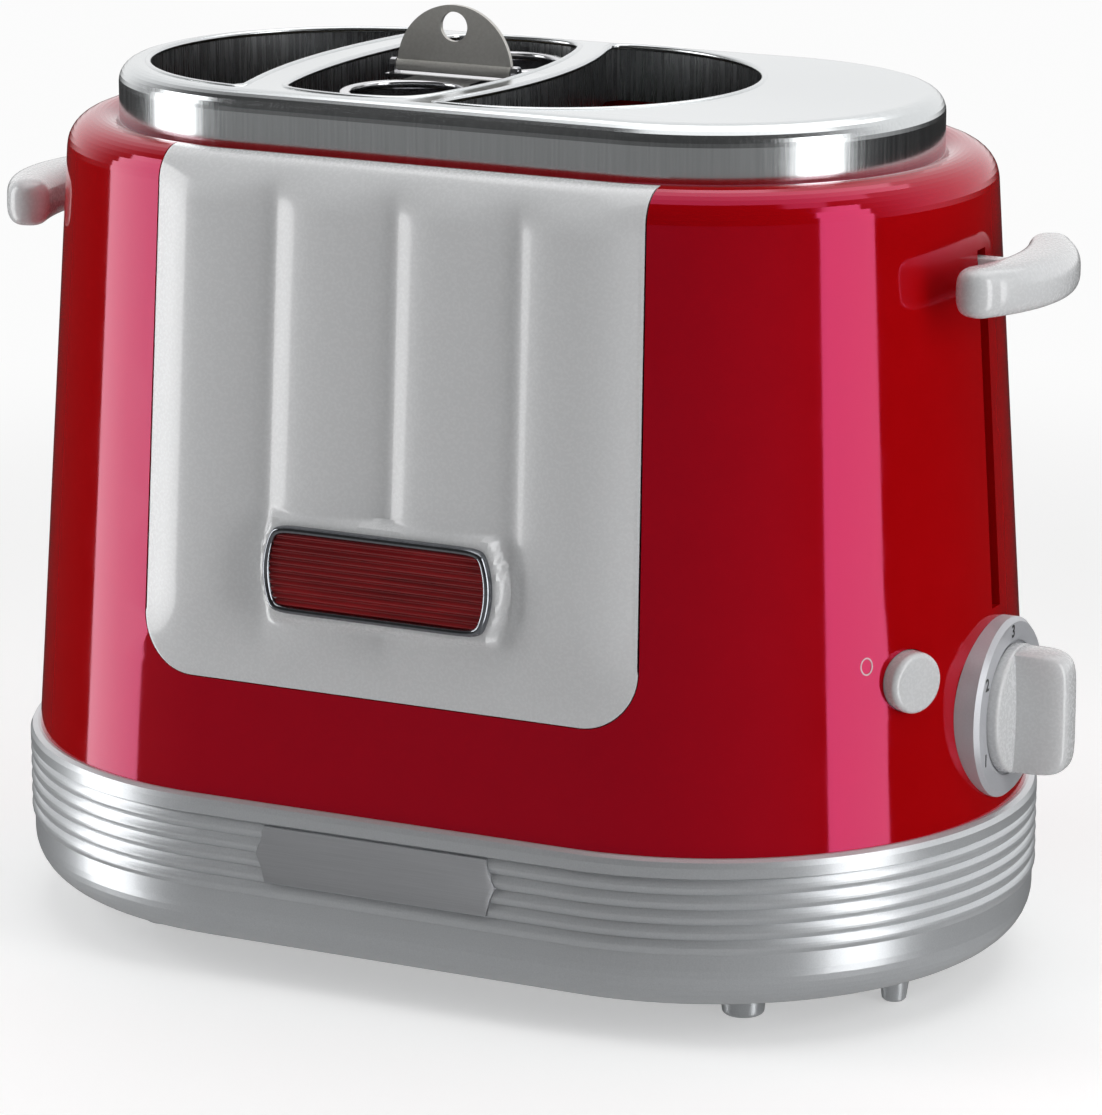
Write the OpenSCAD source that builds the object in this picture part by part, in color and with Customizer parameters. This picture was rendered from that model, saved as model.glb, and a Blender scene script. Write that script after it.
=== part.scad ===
// Hot dog toaster: two bun slots and a two-well sausage basket in a retro casing.
// +Z is up, +X is the control end, -Y is the front with the ribbed panel.
// The origin is on the worktop under the middle of the casing. Millimetres.

/* [Casing] */
// Length of the red shell at its bottom edge
body_len = 280; // [276:1:300]
// Depth of the red shell, front to back, at its bottom edge
body_wid = 171; // [170:0.5:176]
// Height of the seam between the base and the shell
seam_z = 51; // [50:0.5:54]
// Height of the shell's rim
rim_z = 220; // [218:0.5:226]
// How far the shell leans in between the seam and the rim
shell_lean = 10.6; // [9:0.2:11]
// Radius of the shell's shoulder
shoulder_r = 9; // [7:0.5:9.5]
// Wall of the moulded casings
wall_t = 2.5; // [2:0.1:2.8]

/* [Base] */
// Height of the flat underside above the worktop
foot_h = 9.3; // [8:0.5:10]
// How far the base stands out past the shell
base_proud = 2.8; // [2.2:0.1:3.4]
// Number of round ribs under the lip
rib_count = 5; // [3:1:5]
// Height of one rib
rib_pitch = 4; // [3.6:0.1:4.2]
// Depth of the creases between the ribs
rib_depth = 0.8; // [0.4:0.1:1]
// Height of the lip above the ribs
lip_h = 5.2; // [4:0.2:6]
// Radius of the bowl's turn into the underside
bowl_r = 12; // [10:0.5:13]

/* [Top cover] */
// Height of the steel deck
deck_z = 234.2; // [232:0.2:240]
// Radius of the deck's rounded edge
deck_edge_r = 5.5; // [4:0.5:6]
// Thickness of the steel sheet
sheet_t = 1; // [0.8:0.1:1.2]
// Radius of the round side of a bun slot
bun_r = 54; // [51:0.5:54.5]
// Centre of the left bun slot's round side
left_bun_x = -53; // [-54:0.5:-52]
// Centre of the right bun slot's round side
right_bun_x = 10; // [9:0.5:11]
// Width of the middle opening
mid_w = 54; // [53:1:56]
// Length of the middle opening, front to back
mid_l = 107; // [104:1:108]

/* [Front panel] */
// Half width of the ribbed panel at its bottom
panel_half = 71.7; // [68:0.5:73]
// Height of the panel's bottom edge
panel_z = 82.5; // [80:0.5:86]
// How far its round columns stand out
column_h = 3.4; // [2:0.2:4]
// Badge length
badge_l = 66; // [60:1:68]
// Badge height
badge_h = 23.2; // [20:0.2:24]
// Height of the badge's centre
badge_z = 115; // [112:0.5:118]

/* [Controls] */
// Height of the timer's axis
dial_z = 77.5; // [76.5:0.5:79]
// Radius of the numbered ring
dial_r = 23.75; // [22:0.25:24]
// Radius of the timer knob
knob_r = 17; // [15:0.5:18]
// How far the knob reaches out from the middle of the part
knob_reach = 158.2; // [156:0.2:159]
// Radius of the stop button
button_r = 8; // [7:0.25:8.5]
// Height of the stop button's axis
button_z = 92.5; // [90:0.5:94]
// How far the stop button can be pressed
button_travel = 2.5; // [1.5:0.25:3]

/* [Levers] */
// Height of the levers at rest
lever_z = 192; // [190:0.5:193]
// How far the levers are pushed down
lever_travel = 80; // [70:1:80]
// How far a lever reaches out from the middle of the part
lever_reach = 154.5; // [152:0.5:157]
// Thickness of a lever's grip
lever_t = 13; // [11:0.5:14]
// Half length of a lever's grip, front to back
lever_half = 31; // [26:0.5:32]
// Width of the slot that a lever runs in
slot_w = 5.4; // [5:0.1:6]

/* [Basket] */
// Outer radius of a sausage well's rim
well_rim_r = 18; // [17.5:0.1:18.5]
// Outer radius of a sausage well
well_r = 16.6; // [16:0.1:17]
// Depth of a sausage well
well_depth = 79; // [75:1:80]
// Distance from the basket's middle to a well's axis
well_off = 27; // [26:0.5:28]
// Radius of the folding half-disc handle
handle_r = 17; // [15:0.5:17]

/* [Hidden] */

$fn = 64;
end_fn = 120;       // circle steps for the casing's round ends
gap = 0.2;          // clearance between pieces that are assembled
run_gap = 0.05;     // radial clearance of a rod or shaft in its bore
eps = 0.5;          // overlap of solids that are joined, and overrun of cuts

// Plan of the casing: two half circles joined by straight sides
half_len = body_len / 2;
half_wid = body_wid / 2;
end_x = half_len - half_wid;

// Section of the shell: inset from the plan outline against height
slope = shell_lean / (rim_z - shoulder_r - seam_z);
lean_ang = atan(slope);
should_z = rim_z - shoulder_r;
should_d = slope * (should_z - seam_z) + shoulder_r / cos(lean_ang);
ledge_z = rim_z - 1.5;
ledge_ang = asin((ledge_z - should_z) / shoulder_r);
ledge_d = should_d + shoulder_r * cos(ledge_ang);
ledge_w = 4.5;
cover_d = ledge_d + gap;
function lean_at(z) = slope * (z - seam_z);

// Base
lip_d = -base_proud;
ribs_z = seam_z - lip_h;
bead_z = ribs_z - rib_count * rib_pitch;
floor_z = foot_h + wall_t;
bowl_d = lip_d + rib_depth;
tongue_h = 4;
tongue_t = 1.8;
tongue_d = wall_t + lean_at(seam_z + tongue_h) + gap;
tray_x = [-72, 66];
tray_z = [floor_z + 0.3, floor_z + 10.5];
tray_front = -50;
foot_x = 87;
foot_y = 47.5;
foot_r = 6.5;
foot_tip_r = 5.6;
foot_edge = 1.2;
fin_len = 24;
fin_t = 5;
peg_x = 118;
peg_y = -20;
plate_half = 32.5;
plate_tip = 35;
plate_z = [ribs_z - 3.85 * rib_pitch, ribs_z - 0.3];
plate_seat = half_wid + base_proud - 1.7;
gland_x = 40;
gland_z = ribs_z - 2.5 * rib_pitch;
gland_r = 6;
gland_flange_r = 8;
gland_bore = 3.6;
gland_seat = half_wid - lip_d;

// Chassis
chassis_z = [24, ledge_z - wall_t - 0.3];
plate_t = 0.8;
chamber_r = bun_r + 3;
chamber_out = chamber_r + plate_t;
right_wall_x = 76;
collar_z = ledge_z + 0.3;
land_left = 10;
mid_x = -26;
mid_y = 0;
rod_x = [-118, 103];
rod_r = 2.5;
rod_boss_r = 6;
rod_boss_z = 18;
bracket_t = 3;
bracket_z = rim_z - 11;
rod_top = bracket_z + bracket_t;
bush_r = 5;
bush_z = [lever_z - 12, lever_z + 5];
ring_d = [15, 19];
ring_z = [lever_z - 6, lever_z + 2];
arm_half = 7;
stem_h = 8;
rack_z = lever_z - 43;
wire_r = 1.2;
hanger_r = wire_r - 0.2;
cross_rise = 1.5 * wire_r;      // the cross wires are welded on top of the long ones
rack_left_x = [-94, -72];
rack_mid_x = [-33, -10];
rack_right_x = [22, 48];
rack_cross = 30;
board_x = [-58.5, 4.5, 69];
board_z = [52, 188];
function board_half(x) = sqrt(pow(chamber_r, 2) - pow(min(0, x - left_bun_x), 2)) - gap;
curved_r = chamber_r - gap;
curved_ang = 35;
ribbon_t = 0.4;
ribbon_w = 1.5;
ribbon_pitch = 12;
ribbon_gap = 0.1;
latch_y = 29;
latch_x = [80, 90];
magnet_top = ring_z[0] - 2 - lever_travel - gap;
pcb_x = 92;
pcb_t = 1.6;
pcb_y = [10, 42];
spring_turns = 14;
spring_r = 3.7;
spring_wire = 0.6;

// Basket
basket_x = -21.5;
basket_y = 1;
rim_top = deck_z - 2.7;
well_t = 0.8;
hinge_z = deck_z - 0.6;
pin_r = 0.8;
knuckle_r = 1.7;
handle_t = 1.4;
handle_hole = 4;
rest_z = rim_top - well_depth - 0.3 - wire_r - cross_rise;

// Controls
dial_face = 141.4;
dial_back = 128;
dial_neck = 20;
shaft_r = 3;
timer_half = 18;
timer_x = 109.5;
knob_gap = 0.5;
button_ang = -27.4;
button_out = half_wid - lean_at(button_z) + 3.8;
stem_end = 62;
switch_half = 5.5;

// ---- plan and section helpers ----

// Half depth of the plan at distance x from the middle, at inset d
function plan_y(x, d) = sqrt(pow(half_wid - d, 2) - pow(max(0, abs(x) - end_x), 2));

// Points of one arc
function arc(cx, cy, r, a0, a1, n) = [for (i = [0 : n])
    let (a = a0 + (a1 - a0) * i / n) [cx + r * cos(a), cy + r * sin(a)]];

// Plan outline at inset d
module plan_shape(d) {
    square([2 * end_x, 2 * (half_wid - d)], center = true);
    for (s = [-1, 1]) translate([s * end_x, 0]) circle(r = half_wid - d, $fn = end_fn);
}

// Carries a closed section of [inset, height] points round the whole plan
module sweep(section) {
    profile = [for (q = section) [half_wid - q[0], q[1]]];
    for (s = [0, 180]) rotate([0, 0, s]) {
        translate([end_x, 0, 0]) rotate([0, 0, -90]) rotate_extrude(angle = 180, $fn = end_fn) polygon(profile);
        translate([-end_x, 0, 0]) rotate([90, 0, 90]) linear_extrude(2 * end_x) polygon(profile);
    }
}

// Flat plate of the plan's shape at inset d
module plan_plate(d, z0, z1) {
    translate([0, 0, z0]) linear_extrude(z1 - z0) plan_shape(d);
}

module box_between(p, q) {
    translate(p) cube(q - p);
}

module rod_between(p, q, r) {
    v = q - p;
    l = norm(v);
    translate(p) rotate([0, acos(v[2] / l), atan2(v[1], v[0])]) cylinder(h = l, r = r, $fn = 24);
}

// Faces of an end cap from its corners' numbers: one flat polygon, or a strip between the ring's two halves
function cap_faces(ids, strip) = !strip ? [ids] : let (n = len(ids))
    [for (i = [0 : n / 2 - 2]) each [[ids[i], ids[i + 1], ids[n - 1 - i]],
        [ids[i + 1], ids[n - 2 - i], ids[n - 1 - i]]]];

// Closed skin over rings of equal point counts, each counterclockwise seen from the last one
module skin(rings, strip = false) {
    n = len(rings[0]);
    m = len(rings);
    polyhedron(
        points = [for (r = rings) each r],
        faces = concat(
            cap_faces([for (i = [0 : n - 1]) i], strip),
            [for (k = [0 : m - 2]) for (i = [0 : n - 1]) let (j = (i + 1) % n)
                each [[k * n + i, (k + 1) * n + j, k * n + j], [k * n + i, (k + 1) * n + i, (k + 1) * n + j]]],
            cap_faces([for (i = [n - 1 : -1 : 0]) (m - 1) * n + i], strip)),
        convexity = 6);
}

// ---- base ----

// Outside of the base, from the seam down over the ribs and the bowl
function base_outside() = concat(
    [[lip_d + 2, seam_z], [lip_d + 0.6, seam_z - 0.6], [lip_d, seam_z - 2], [lip_d, ribs_z + 0.5]],
    [for (k = [0 : rib_count - 1]) let (z = ribs_z - k * rib_pitch)
        each [for (i = [0 : 5]) [lip_d + rib_depth * (1 - sin(180 * i / 6)), z - rib_pitch * i / 6]]],
    [[lip_d + rib_depth, bead_z]],
    arc(bowl_d + bowl_r, foot_h + bowl_r, bowl_r, 180, 270, 10));
function base_inside() = concat(
    arc(bowl_d + bowl_r, foot_h + bowl_r, bowl_r - wall_t, 270, 180, 6),
    [[bowl_d + wall_t, ribs_z - 4], [tongue_d + tongue_t, ribs_z],
     [tongue_d + tongue_t, seam_z + tongue_h], [tongue_d, seam_z + tongue_h], [tongue_d, seam_z]]);

module base_wall() {
    sweep(concat(base_outside(), base_inside()));
}

module tray_window(c) {
    box_between([tray_x[0] - c, 60, tray_z[0] - c], [tray_x[1] + c, half_wid + 10, tray_z[1] + c]);
}

// Where the chassis stands: along the front wall, the right wall and the round left wall
function chassis_posts() = concat(
    [for (x = [-30, 50]) [x, -chamber_r - plate_t / 2]],
    [for (y = [-40, 40]) [right_wall_x + plate_t / 2, y]],
    [for (a = [-25, 25]) [left_bun_x - (chamber_r + plate_t / 2) * cos(a), (chamber_r + plate_t / 2) * sin(a)]]);

module base_shell() {
    color("silver") difference() {
        union() {
            base_wall();
            plan_plate(bowl_d + bowl_r - eps, foot_h, floor_z);
            for (x = rod_x) translate([x, 0, foot_h + 1]) cylinder(h = rod_boss_z - foot_h - 1, r = rod_boss_r);
            for (p = chassis_posts()) translate([p[0], p[1], foot_h + 1])
                cylinder(h = chassis_z[0] - foot_h - 1, r = 4);
            for (y = [pcb_y[0] + 3, pcb_y[1] - 3])
                box_between([pcb_x - 3, y - 2, foot_h + 1], [pcb_x + pcb_t + 3, y + 2, floor_z + 8]);
        }
        tray_window(0.3);
        for (x = rod_x) translate([x, 0, floor_z]) cylinder(h = 20, r = rod_r + run_gap);
        box_between([pcb_x - 0.1, pcb_y[0] - 1, floor_z], [pcb_x + pcb_t + 0.1, pcb_y[1] + 1, floor_z + 20]);
        translate([0, -plate_seat, 0]) plate_outline(gap, 10);
        translate([gland_x, half_wid - 15, gland_z]) rotate([-90, 0, 0]) cylinder(h = 30, r = gland_r + gap);
        translate([0, 0, foot_h - eps]) linear_extrude(wall_t + 2 * eps) floor_vents();
    }
}

// Two rows of round-ended vents in the floor
module floor_vents() {
    for (x = [-48 : 24 : 48]) for (y = [-24, 24]) translate([x, y]) {
        square([4, 20], center = true);
        for (s = [-10, 10]) translate([0, s]) circle(r = 2, $fn = 24);
    }
}

// Tapered post with a fin that fairs it into the underside
module foot(x, y) {
    color("silver") translate([x, y, 0]) {
        rotate_extrude() polygon(concat([[0, 0]],
            arc(foot_tip_r - foot_edge, foot_edge, foot_edge, -90, 0, 4), [[foot_r, foot_h], [0, foot_h]]));
        translate([-fin_t / 2, 0, 0]) rotate([90, 0, 90]) linear_extrude(fin_t)
            polygon([for (q = [[0, 1.5], [foot_tip_r, 2.4], [fin_len, foot_h], [0, foot_h]])
                [-sign(y) * q[0], q[1]]]);
    }
}

module foot_front_left() { foot(-foot_x, -foot_y); }
module foot_front_right() { foot(foot_x, -foot_y); }
module foot_rear_left() { foot(-foot_x, foot_y); }
module foot_rear_right() { foot(foot_x, foot_y); }

// Slim posts under the levers that keep the part from tipping
module end_pegs() {
    color("silver") for (s = [-1, 1]) translate([s * peg_x, peg_y, 0])
        rotate_extrude() polygon([[0, 0], [2.6, 0], [3.2, 0.6], [4.5, foot_h], [0, foot_h]]);
}

// Screw heads that hold the feet, on the floor inside
module base_screws() {
    color("gray") for (x = [-foot_x, foot_x]) for (y = [-foot_y, foot_y])
        translate([x, y, floor_z]) cylinder(h = 2, r = 3.5);
}

// Outline with bracket-shaped ends, standing across the front and grown by c
module plate_outline(c, depth) {
    zm = (plate_z[0] + plate_z[1]) / 2;
    zh = (plate_z[1] - plate_z[0]) / 2 + c;
    right = [[plate_half + c, -zh], [plate_half + 0.9 + c, -zh / 2], [plate_tip + c, 0],
        [plate_half + 0.9 + c, zh / 2], [plate_half + c, zh]];
    translate([0, 0, zm]) rotate([90, 0, 0]) linear_extrude(depth)
        polygon(concat(right, [for (i = [4 : -1 : 0]) [-right[i][0], right[i][1]]]));
}

// Bare name plate, let into the ribs
module name_plate() {
    color("gainsboro") intersection() {
        translate([0, -plate_seat, 0]) plate_outline(0, 4);
        plan_plate(lip_d - 0.3, ribs_z - 30, ribs_z + 10);
    }
}

// Tray whose rear wall closes the window in the base
module crumb_tray() {
    color("silver") {
        intersection() {
            base_wall();
            tray_window(0);
        }
        difference() {
            box_between([tray_x[0], tray_front, tray_z[0]], [tray_x[1], 76, tray_z[0] + 9]);
            box_between([tray_x[0] + 1, tray_front + 1, tray_z[0] + 1], [tray_x[1] - 1, 90, tray_z[0] + 20]);
        }
        intersection() {
            box_between([tray_x[0], 75, tray_z[0]], [tray_x[1], 90, tray_z[0] + 1]);
            plan_plate(bowl_d + bowl_r - 7, 0, 100);
        }
    }
}

// Gland that the mains lead leaves through; the lead itself is not part of this
module cord_gland() {
    color("dimgray") translate([gland_x, gland_seat, gland_z]) rotate([-90, 0, 0]) difference() {
        union() {
            cylinder(h = 2.2, r = gland_flange_r);
            translate([0, 0, -9]) cylinder(h = 10, r = gland_r);
        }
        translate([0, 0, -10]) cylinder(h = 14, r = gland_bore);
    }
}

// ---- shell and front ----

// Section of the shell with its leaning wall, round shoulder and inner ledge
function shell_section() = concat(
    [[0, seam_z]],
    arc(should_d, should_z, shoulder_r, 180 - lean_ang, ledge_ang, 14),
    [[ledge_d + ledge_w, ledge_z], [ledge_d + ledge_w, ledge_z - wall_t]],
    arc(should_d, should_z, shoulder_r - wall_t, asin((ledge_z - wall_t - should_z) / (shoulder_r - wall_t)),
        180 - lean_ang, 8),
    [[wall_t, seam_z]]);

// Everything outside the wall's inner face, to trim what stands against it
module outside_wall(depth) {
    sweep([[depth, seam_z], [depth + lean_at(130), 130], [-20, 130], [-20, seam_z]]);
}

module along_button(from, to, r) {
    translate([end_x, 0, button_z]) rotate([0, 90, button_ang]) translate([0, 0, from])
        cylinder(h = to - from, r = r);
}

module outer_shell() {
    color("firebrick") difference() {
        sweep(shell_section());
        for (s = [-1, 1]) translate([s * (half_len - 15), 0, 0])
            box_between([-22, -slot_w / 2, ring_z[0] - lever_travel - 2],
                [22, slot_w / 2, lever_z + stem_h / 2 + 2]);
        translate([dial_back - 3, 0, dial_z]) rotate([0, 90, 0]) cylinder(h = 30, r = dial_neck + gap);
        along_button(60, 100, button_r + gap);
        difference() {
            translate([0, -30, 0]) rotate([90, 0, 0]) linear_extrude(80)
                polygon(concat(panel_edge(0.3),
                    [for (i = [10 : -1 : 0]) let (q = panel_edge(0.3)[i]) [-q[0], q[1]]]));
            plan_plate(should_d + gap, seam_z, rim_z + 10);
        }
    }
}

// Right half of the panel's outline from its foot to its top, grown by c
function panel_w(z) = panel_half - 2.2 * (z - panel_z) / (rim_z - panel_z);
panel_corner = 15;
function panel_edge(c) = concat(
    [for (i = [0 : 9]) let (a = 90 * i / 9)
        [panel_w(panel_z) - panel_corner + (panel_corner + c) * sin(a),
         panel_z + panel_corner - (panel_corner + c) * cos(a)]],
    [[panel_w(rim_z) + c, rim_z + 5]]);
function panel_half_at(z) = z < panel_z + panel_corner
    ? panel_w(panel_z) - panel_corner + sqrt(max(0, pow(panel_corner, 2) - pow(panel_z + panel_corner - z, 2)))
    : panel_w(z);

// Rows of the panel as [inset, height, inward normal] from its foot to the rim
function smooth(x) = let (t = max(0, min(1, x))) t * t * (3 - 2 * t);
pad_fall = [13.2, 14.6, 16];     // heights from the badge's middle over which the pad falls away
plain_rows = [142, 162, 182, 200];
panel_rows_z = concat(
    [for (i = [0 : 4]) panel_z + panel_corner * (1 - cos(90 * i / 4))],
    [for (i = [2 : -1 : 0]) badge_z - pad_fall[i]], [badge_z], [for (f = pad_fall) badge_z + f], plain_rows);
panel_rows = concat(
    [for (z = panel_rows_z) [lean_at(z), z, cos(lean_ang), -sin(lean_ang)]],
    [for (i = [0 : 6]) let (a = 180 - lean_ang - (90 - lean_ang) * i / 6)
        [should_d + shoulder_r * cos(a), should_z + shoulder_r * sin(a), -cos(a), -sin(a)]]);
panel_cols = 56;
pad_h = 4;

// Height of the columns at share t of the half width, faded at both ends
function column_at(t, z) = column_h * (1 - pow(2 * ((t + 1) * 2 - floor(min(3.999, (t + 1) * 2))) - 1, 2))
    * smooth((z - panel_z - 1) / 34) * smooth((rim_z - 3 - z) / 24);
function pad_mask(x, z) = smooth((badge_l / 2 + 6 - abs(x)) / 4)
    * smooth((badge_h / 2 + 4.5 - abs(z - badge_z)) / 3);
function panel_point(row, t, inner) =
    let (x = panel_half_at(row[1]) * t, m = pad_mask(x, row[1]),
         y0 = -plan_y(x, row[0]) - column_at(t, row[1]),
         pad = -plan_y(0, row[0]) - pad_h,
         yo = y0 * (1 - m) + pad * m)
    inner ? [x, -plan_y(x, row[0] + wall_t * row[2]), row[1] + wall_t * row[3]] : [x, yo, row[1]];

// White panel of four round columns, with a flat pad for the badge
module front_panel() {
    color("whitesmoke") skin([for (row = panel_rows) concat(
        [for (i = [0 : panel_cols]) panel_point(row, 2 * i / panel_cols - 1, false)],
        [for (i = [panel_cols : -1 : 0]) panel_point(row, 2 * i / panel_cols - 1, true)])], strip = true);
}

// Puts a flat shape on the badge pad, with z counted outwards from the pad
module on_pad() {
    translate([0, -plan_y(0, lean_at(badge_z)) - pad_h, badge_z]) rotate([90 - lean_ang, 0, 0]) children();
}

// Badge outline: straight long sides, bulged ends
module badge_outline(c) {
    h = badge_h / 2 - c;
    polygon(concat(arc(badge_l / 2 - c - 24, 0, 24, -asin(h / 24), asin(h / 24), 8),
        arc(-badge_l / 2 + c + 24, 0, 24, 180 - asin(h / 24), 180 + asin(h / 24), 8)));
}

module badge_bezel() {
    color("gray") on_pad() difference() {
        union() {
            linear_extrude(1.4) badge_outline(0);
            linear_extrude(2.2) badge_outline(0.8);
        }
        translate([0, 0, 0.6]) linear_extrude(5) badge_outline(2);
    }
}

// Red lens with fine ribs along it
module badge_lens() {
    color("darkred") on_pad() translate([0, 0, 0.6]) intersection() {
        linear_extrude(2) badge_outline(2.1);
        union() {
            linear_extrude(0.8) badge_outline(2.1);
            for (k = [-5 : 5]) translate([-badge_l / 2, k * 1.8, 0.4]) rotate([0, 90, 0])
                cylinder(h = badge_l, r = 0.75, $fn = 6);
        }
    }
}

// ---- openings in the deck ----

// Distance along unit vector u from p to the inside of a circle, and to the outside of one
function to_rim(p, u, c, r) = let (d = p - c, b = u * d) -b + sqrt(max(0, b * b + r * r - d * d));
function to_disc(p, u, c, r) = let (d = p - c, b = u * d, q = b * b + r * r - d * d)
    (q < 0 || b > 0) ? 1e4 : -b - sqrt(q);
function blend_min(t) = let (lo = min(t)) lo * pow([for (v = t) pow(lo / v, 22)] * [for (v = t) 1], -1 / 22);

// Radii of the arcs that bound the lands between the openings
land_r = [204, 153];
mid_left = mid_x - mid_w / 2;
mid_right = mid_x + mid_w / 2;
opening_steps = 96;
function opening(which, grow) = [for (i = [0 : opening_steps - 1])
    let (a = 360 * i / opening_steps, u = [cos(a), sin(a)])
    which == "left"
        ? let (p = [left_bun_x - 30, 0]) p + u * blend_min([
            to_rim(p, u, [left_bun_x, 0], bun_r + grow),
            to_disc(p, u, [mid_left - land_left + land_r[0], 0], land_r[0] - grow)])
    : which == "right"
        ? let (p = [right_bun_x + 28, 0]) p + u * blend_min([
            to_rim(p, u, [right_bun_x, 0], bun_r + grow),
            to_disc(p, u, [mid_right + 7.5 - land_r[1], 0], land_r[1] - grow)])
        : let (p = [mid_x, mid_y]) p + u * blend_min([
            to_rim(p, u, [mid_left + land_r[0], 0], land_r[0] + grow),
            to_rim(p, u, [mid_right - land_r[1], 0], land_r[1] + grow),
            to_rim(p, u, [mid_x, mid_y], mid_l / 2 + grow)])];

// Steel cover: upright wall, round edge and flat deck with three openings
module top_cover() {
    e = deck_edge_r;
    edge_z = deck_z - e;
    edge_d = cover_d + e;
    color("lightsteelblue") difference() {
        union() {
            sweep(concat([[cover_d, ledge_z]], arc(edge_d, edge_z, e, 180, 90, 8),
                [[edge_d + 1, deck_z], [edge_d + 1, deck_z - sheet_t]],
                arc(edge_d, edge_z, e - sheet_t, 90, 180, 6), [[cover_d + sheet_t, ledge_z]]));
            plan_plate(edge_d + 0.5, deck_z - sheet_t, deck_z);
        }
        for (w = ["left", "middle", "right"]) translate([0, 0, deck_z - 5])
            linear_extrude(10) polygon(opening(w, 0));
    }
}

// Sheet collar that hangs under one opening
module collar(which) {
    color("dimgray") translate([0, 0, collar_z]) linear_extrude(deck_z - sheet_t - collar_z) difference() {
        polygon(opening(which, 0.6 + sheet_t));
        polygon(opening(which, 0.6));
    }
}

module left_bun_collar() { collar("left"); }
module middle_collar() { collar("middle"); }
module right_bun_collar() { collar("right"); }

// ---- chassis and heaters ----

// Slots in the chassis walls for the wires of the racks
module rack_slots() {
    for (x = concat(rack_left_x, rack_mid_x, rack_right_x)) for (s = [-1, 1])
        translate([x, s * chamber_r, 0]) box_between([-wire_r - 1, -24, rest_low() - 3],
            [wire_r + 1, 24, max(rack_z, rest_z) + wire_r + 2]);
}
function rest_low() = min(rack_z, rest_z) - lever_travel - wire_r;

module chassis_wall(y) {
    color("gray") difference() {
        box_between([left_bun_x, y - plate_t / 2, chassis_z[0]], [right_wall_x, y + plate_t / 2, chassis_z[1]]);
        rack_slots();
    }
}

module chassis_front() { chassis_wall(-chamber_r - plate_t / 2); }
module chassis_rear() { chassis_wall(chamber_r + plate_t / 2); }

// Round end wall behind the left bun slot
module chassis_left() {
    color("gray") difference() {
        translate([left_bun_x, 0, chassis_z[0]]) rotate([0, 0, 90])
            rotate_extrude(angle = 180, $fn = 96) translate([chamber_r, 0])
                square([plate_t, chassis_z[1] - chassis_z[0]]);
        rack_slots();
    }
}

module chassis_right() {
    color("gray") box_between([right_wall_x, -chamber_out, chassis_z[0]],
        [right_wall_x + plate_t, chamber_out, chassis_z[1]]);
}

// Flat heater board across the chamber
module flat_board(x) {
    color("burlywood")
        box_between([x, -board_half(x), board_z[0]], [x + plate_t, board_half(x), board_z[1]]);
}

// One flat ribbon that runs to and fro over the board's right face
module flat_ribbon(x) {
    h = board_half(x) - 5;
    rows = floor((board_z[1] - board_z[0] - 16) / ribbon_pitch);
    color("chocolate") for (k = [0 : rows]) {
        z = board_z[0] + 8 + k * ribbon_pitch;
        box_between([x, -h, z], [x + ribbon_t, h, z + ribbon_w]);
        if (k < rows) translate([x, k % 2 == 0 ? h - ribbon_w : -h, z])
            cube([ribbon_t, ribbon_w, ribbon_pitch + ribbon_w]);
    }
}

module heater_board_1() {
    color("burlywood") translate([left_bun_x, 0, board_z[0]]) rotate([0, 0, 180 - curved_ang])
        rotate_extrude(angle = 2 * curved_ang, $fn = 96) translate([curved_r - plate_t, 0])
            square([plate_t, board_z[1] - board_z[0]]);
}
module heater_board_2() { flat_board(board_x[0]); }
module heater_board_3() { flat_board(board_x[1]); }
module heater_board_4() { flat_board(board_x[2]); }

module heating_wire_1() {
    rows = floor((board_z[1] - board_z[0] - 16) / ribbon_pitch);
    a0 = curved_ang - 4;
    color("chocolate") translate([left_bun_x, 0, 0]) for (k = [0 : rows]) {
        z = board_z[0] + 8 + k * ribbon_pitch;
        rotate([0, 0, 180 - a0]) translate([0, 0, z]) rotate_extrude(angle = 2 * a0, $fn = 96)
            translate([curved_r - plate_t - ribbon_t - ribbon_gap, 0]) square([ribbon_t, ribbon_w]);
        if (k < rows) rotate([0, 0, k % 2 == 0 ? 180 - a0 : 180 + a0 - 2]) translate([0, 0, z])
            rotate_extrude(angle = 2, $fn = 96) translate([curved_r - plate_t - ribbon_t - ribbon_gap, 0])
                square([ribbon_t, ribbon_pitch + ribbon_w]);
    }
}
module heating_wire_2() { flat_ribbon(board_x[0] + plate_t); }
module heating_wire_3() { flat_ribbon(board_x[1] + plate_t); }
module heating_wire_4() { flat_ribbon(board_x[2] - ribbon_t); }

// ---- guide rods, springs and carriage ----

module guide_rod(x) {
    color("silver") translate([x, 0, floor_z]) cylinder(h = rod_top - floor_z, r = rod_r);
}
module guide_rod_left() { guide_rod(rod_x[0]); }
module guide_rod_right() { guide_rod(rod_x[1]); }

// Bracket from the chassis that holds the top of a rod
module rod_bracket_left() {
    color("gray") difference() {
        box_between([rod_x[0] - 4.5, -7, bracket_z], [left_bun_x - chamber_r, 7, rod_top]);
        translate([left_bun_x, 0, 0]) cylinder(h = rim_z, r = chamber_out, $fn = 96);
        translate([rod_x[0], 0, 0]) cylinder(h = rim_z, r = rod_r + run_gap);
    }
}
module rod_bracket_right() {
    color("gray") difference() {
        box_between([right_wall_x + plate_t, -8, bracket_z], [rod_x[1] + 6, 8, rod_top]);
        translate([rod_x[1], 0, 0]) cylinder(h = rim_z, r = rod_r + run_gap);
    }
}

// Helical spring from the boss up to the bush
module return_spring(x) {
    z0 = rod_boss_z + spring_wire + gap;
    z1 = bush_z[0] - spring_wire - gap;
    steps = spring_turns * 8;
    sides = 6;
    color("gray") translate([x, 0, 0]) skin([for (k = [0 : steps])
        let (a = 360 * k / 8, z = z0 + (z1 - z0) * k / steps)
        [for (i = [0 : sides - 1]) let (b = 360 * i / sides, r = spring_r + spring_wire * cos(b))
            [r * cos(a), r * sin(a), z - spring_wire * sin(b)]]]);
}
module return_spring_left() { return_spring(rod_x[0]); }
module return_spring_right() { return_spring(rod_x[1]); }

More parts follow.
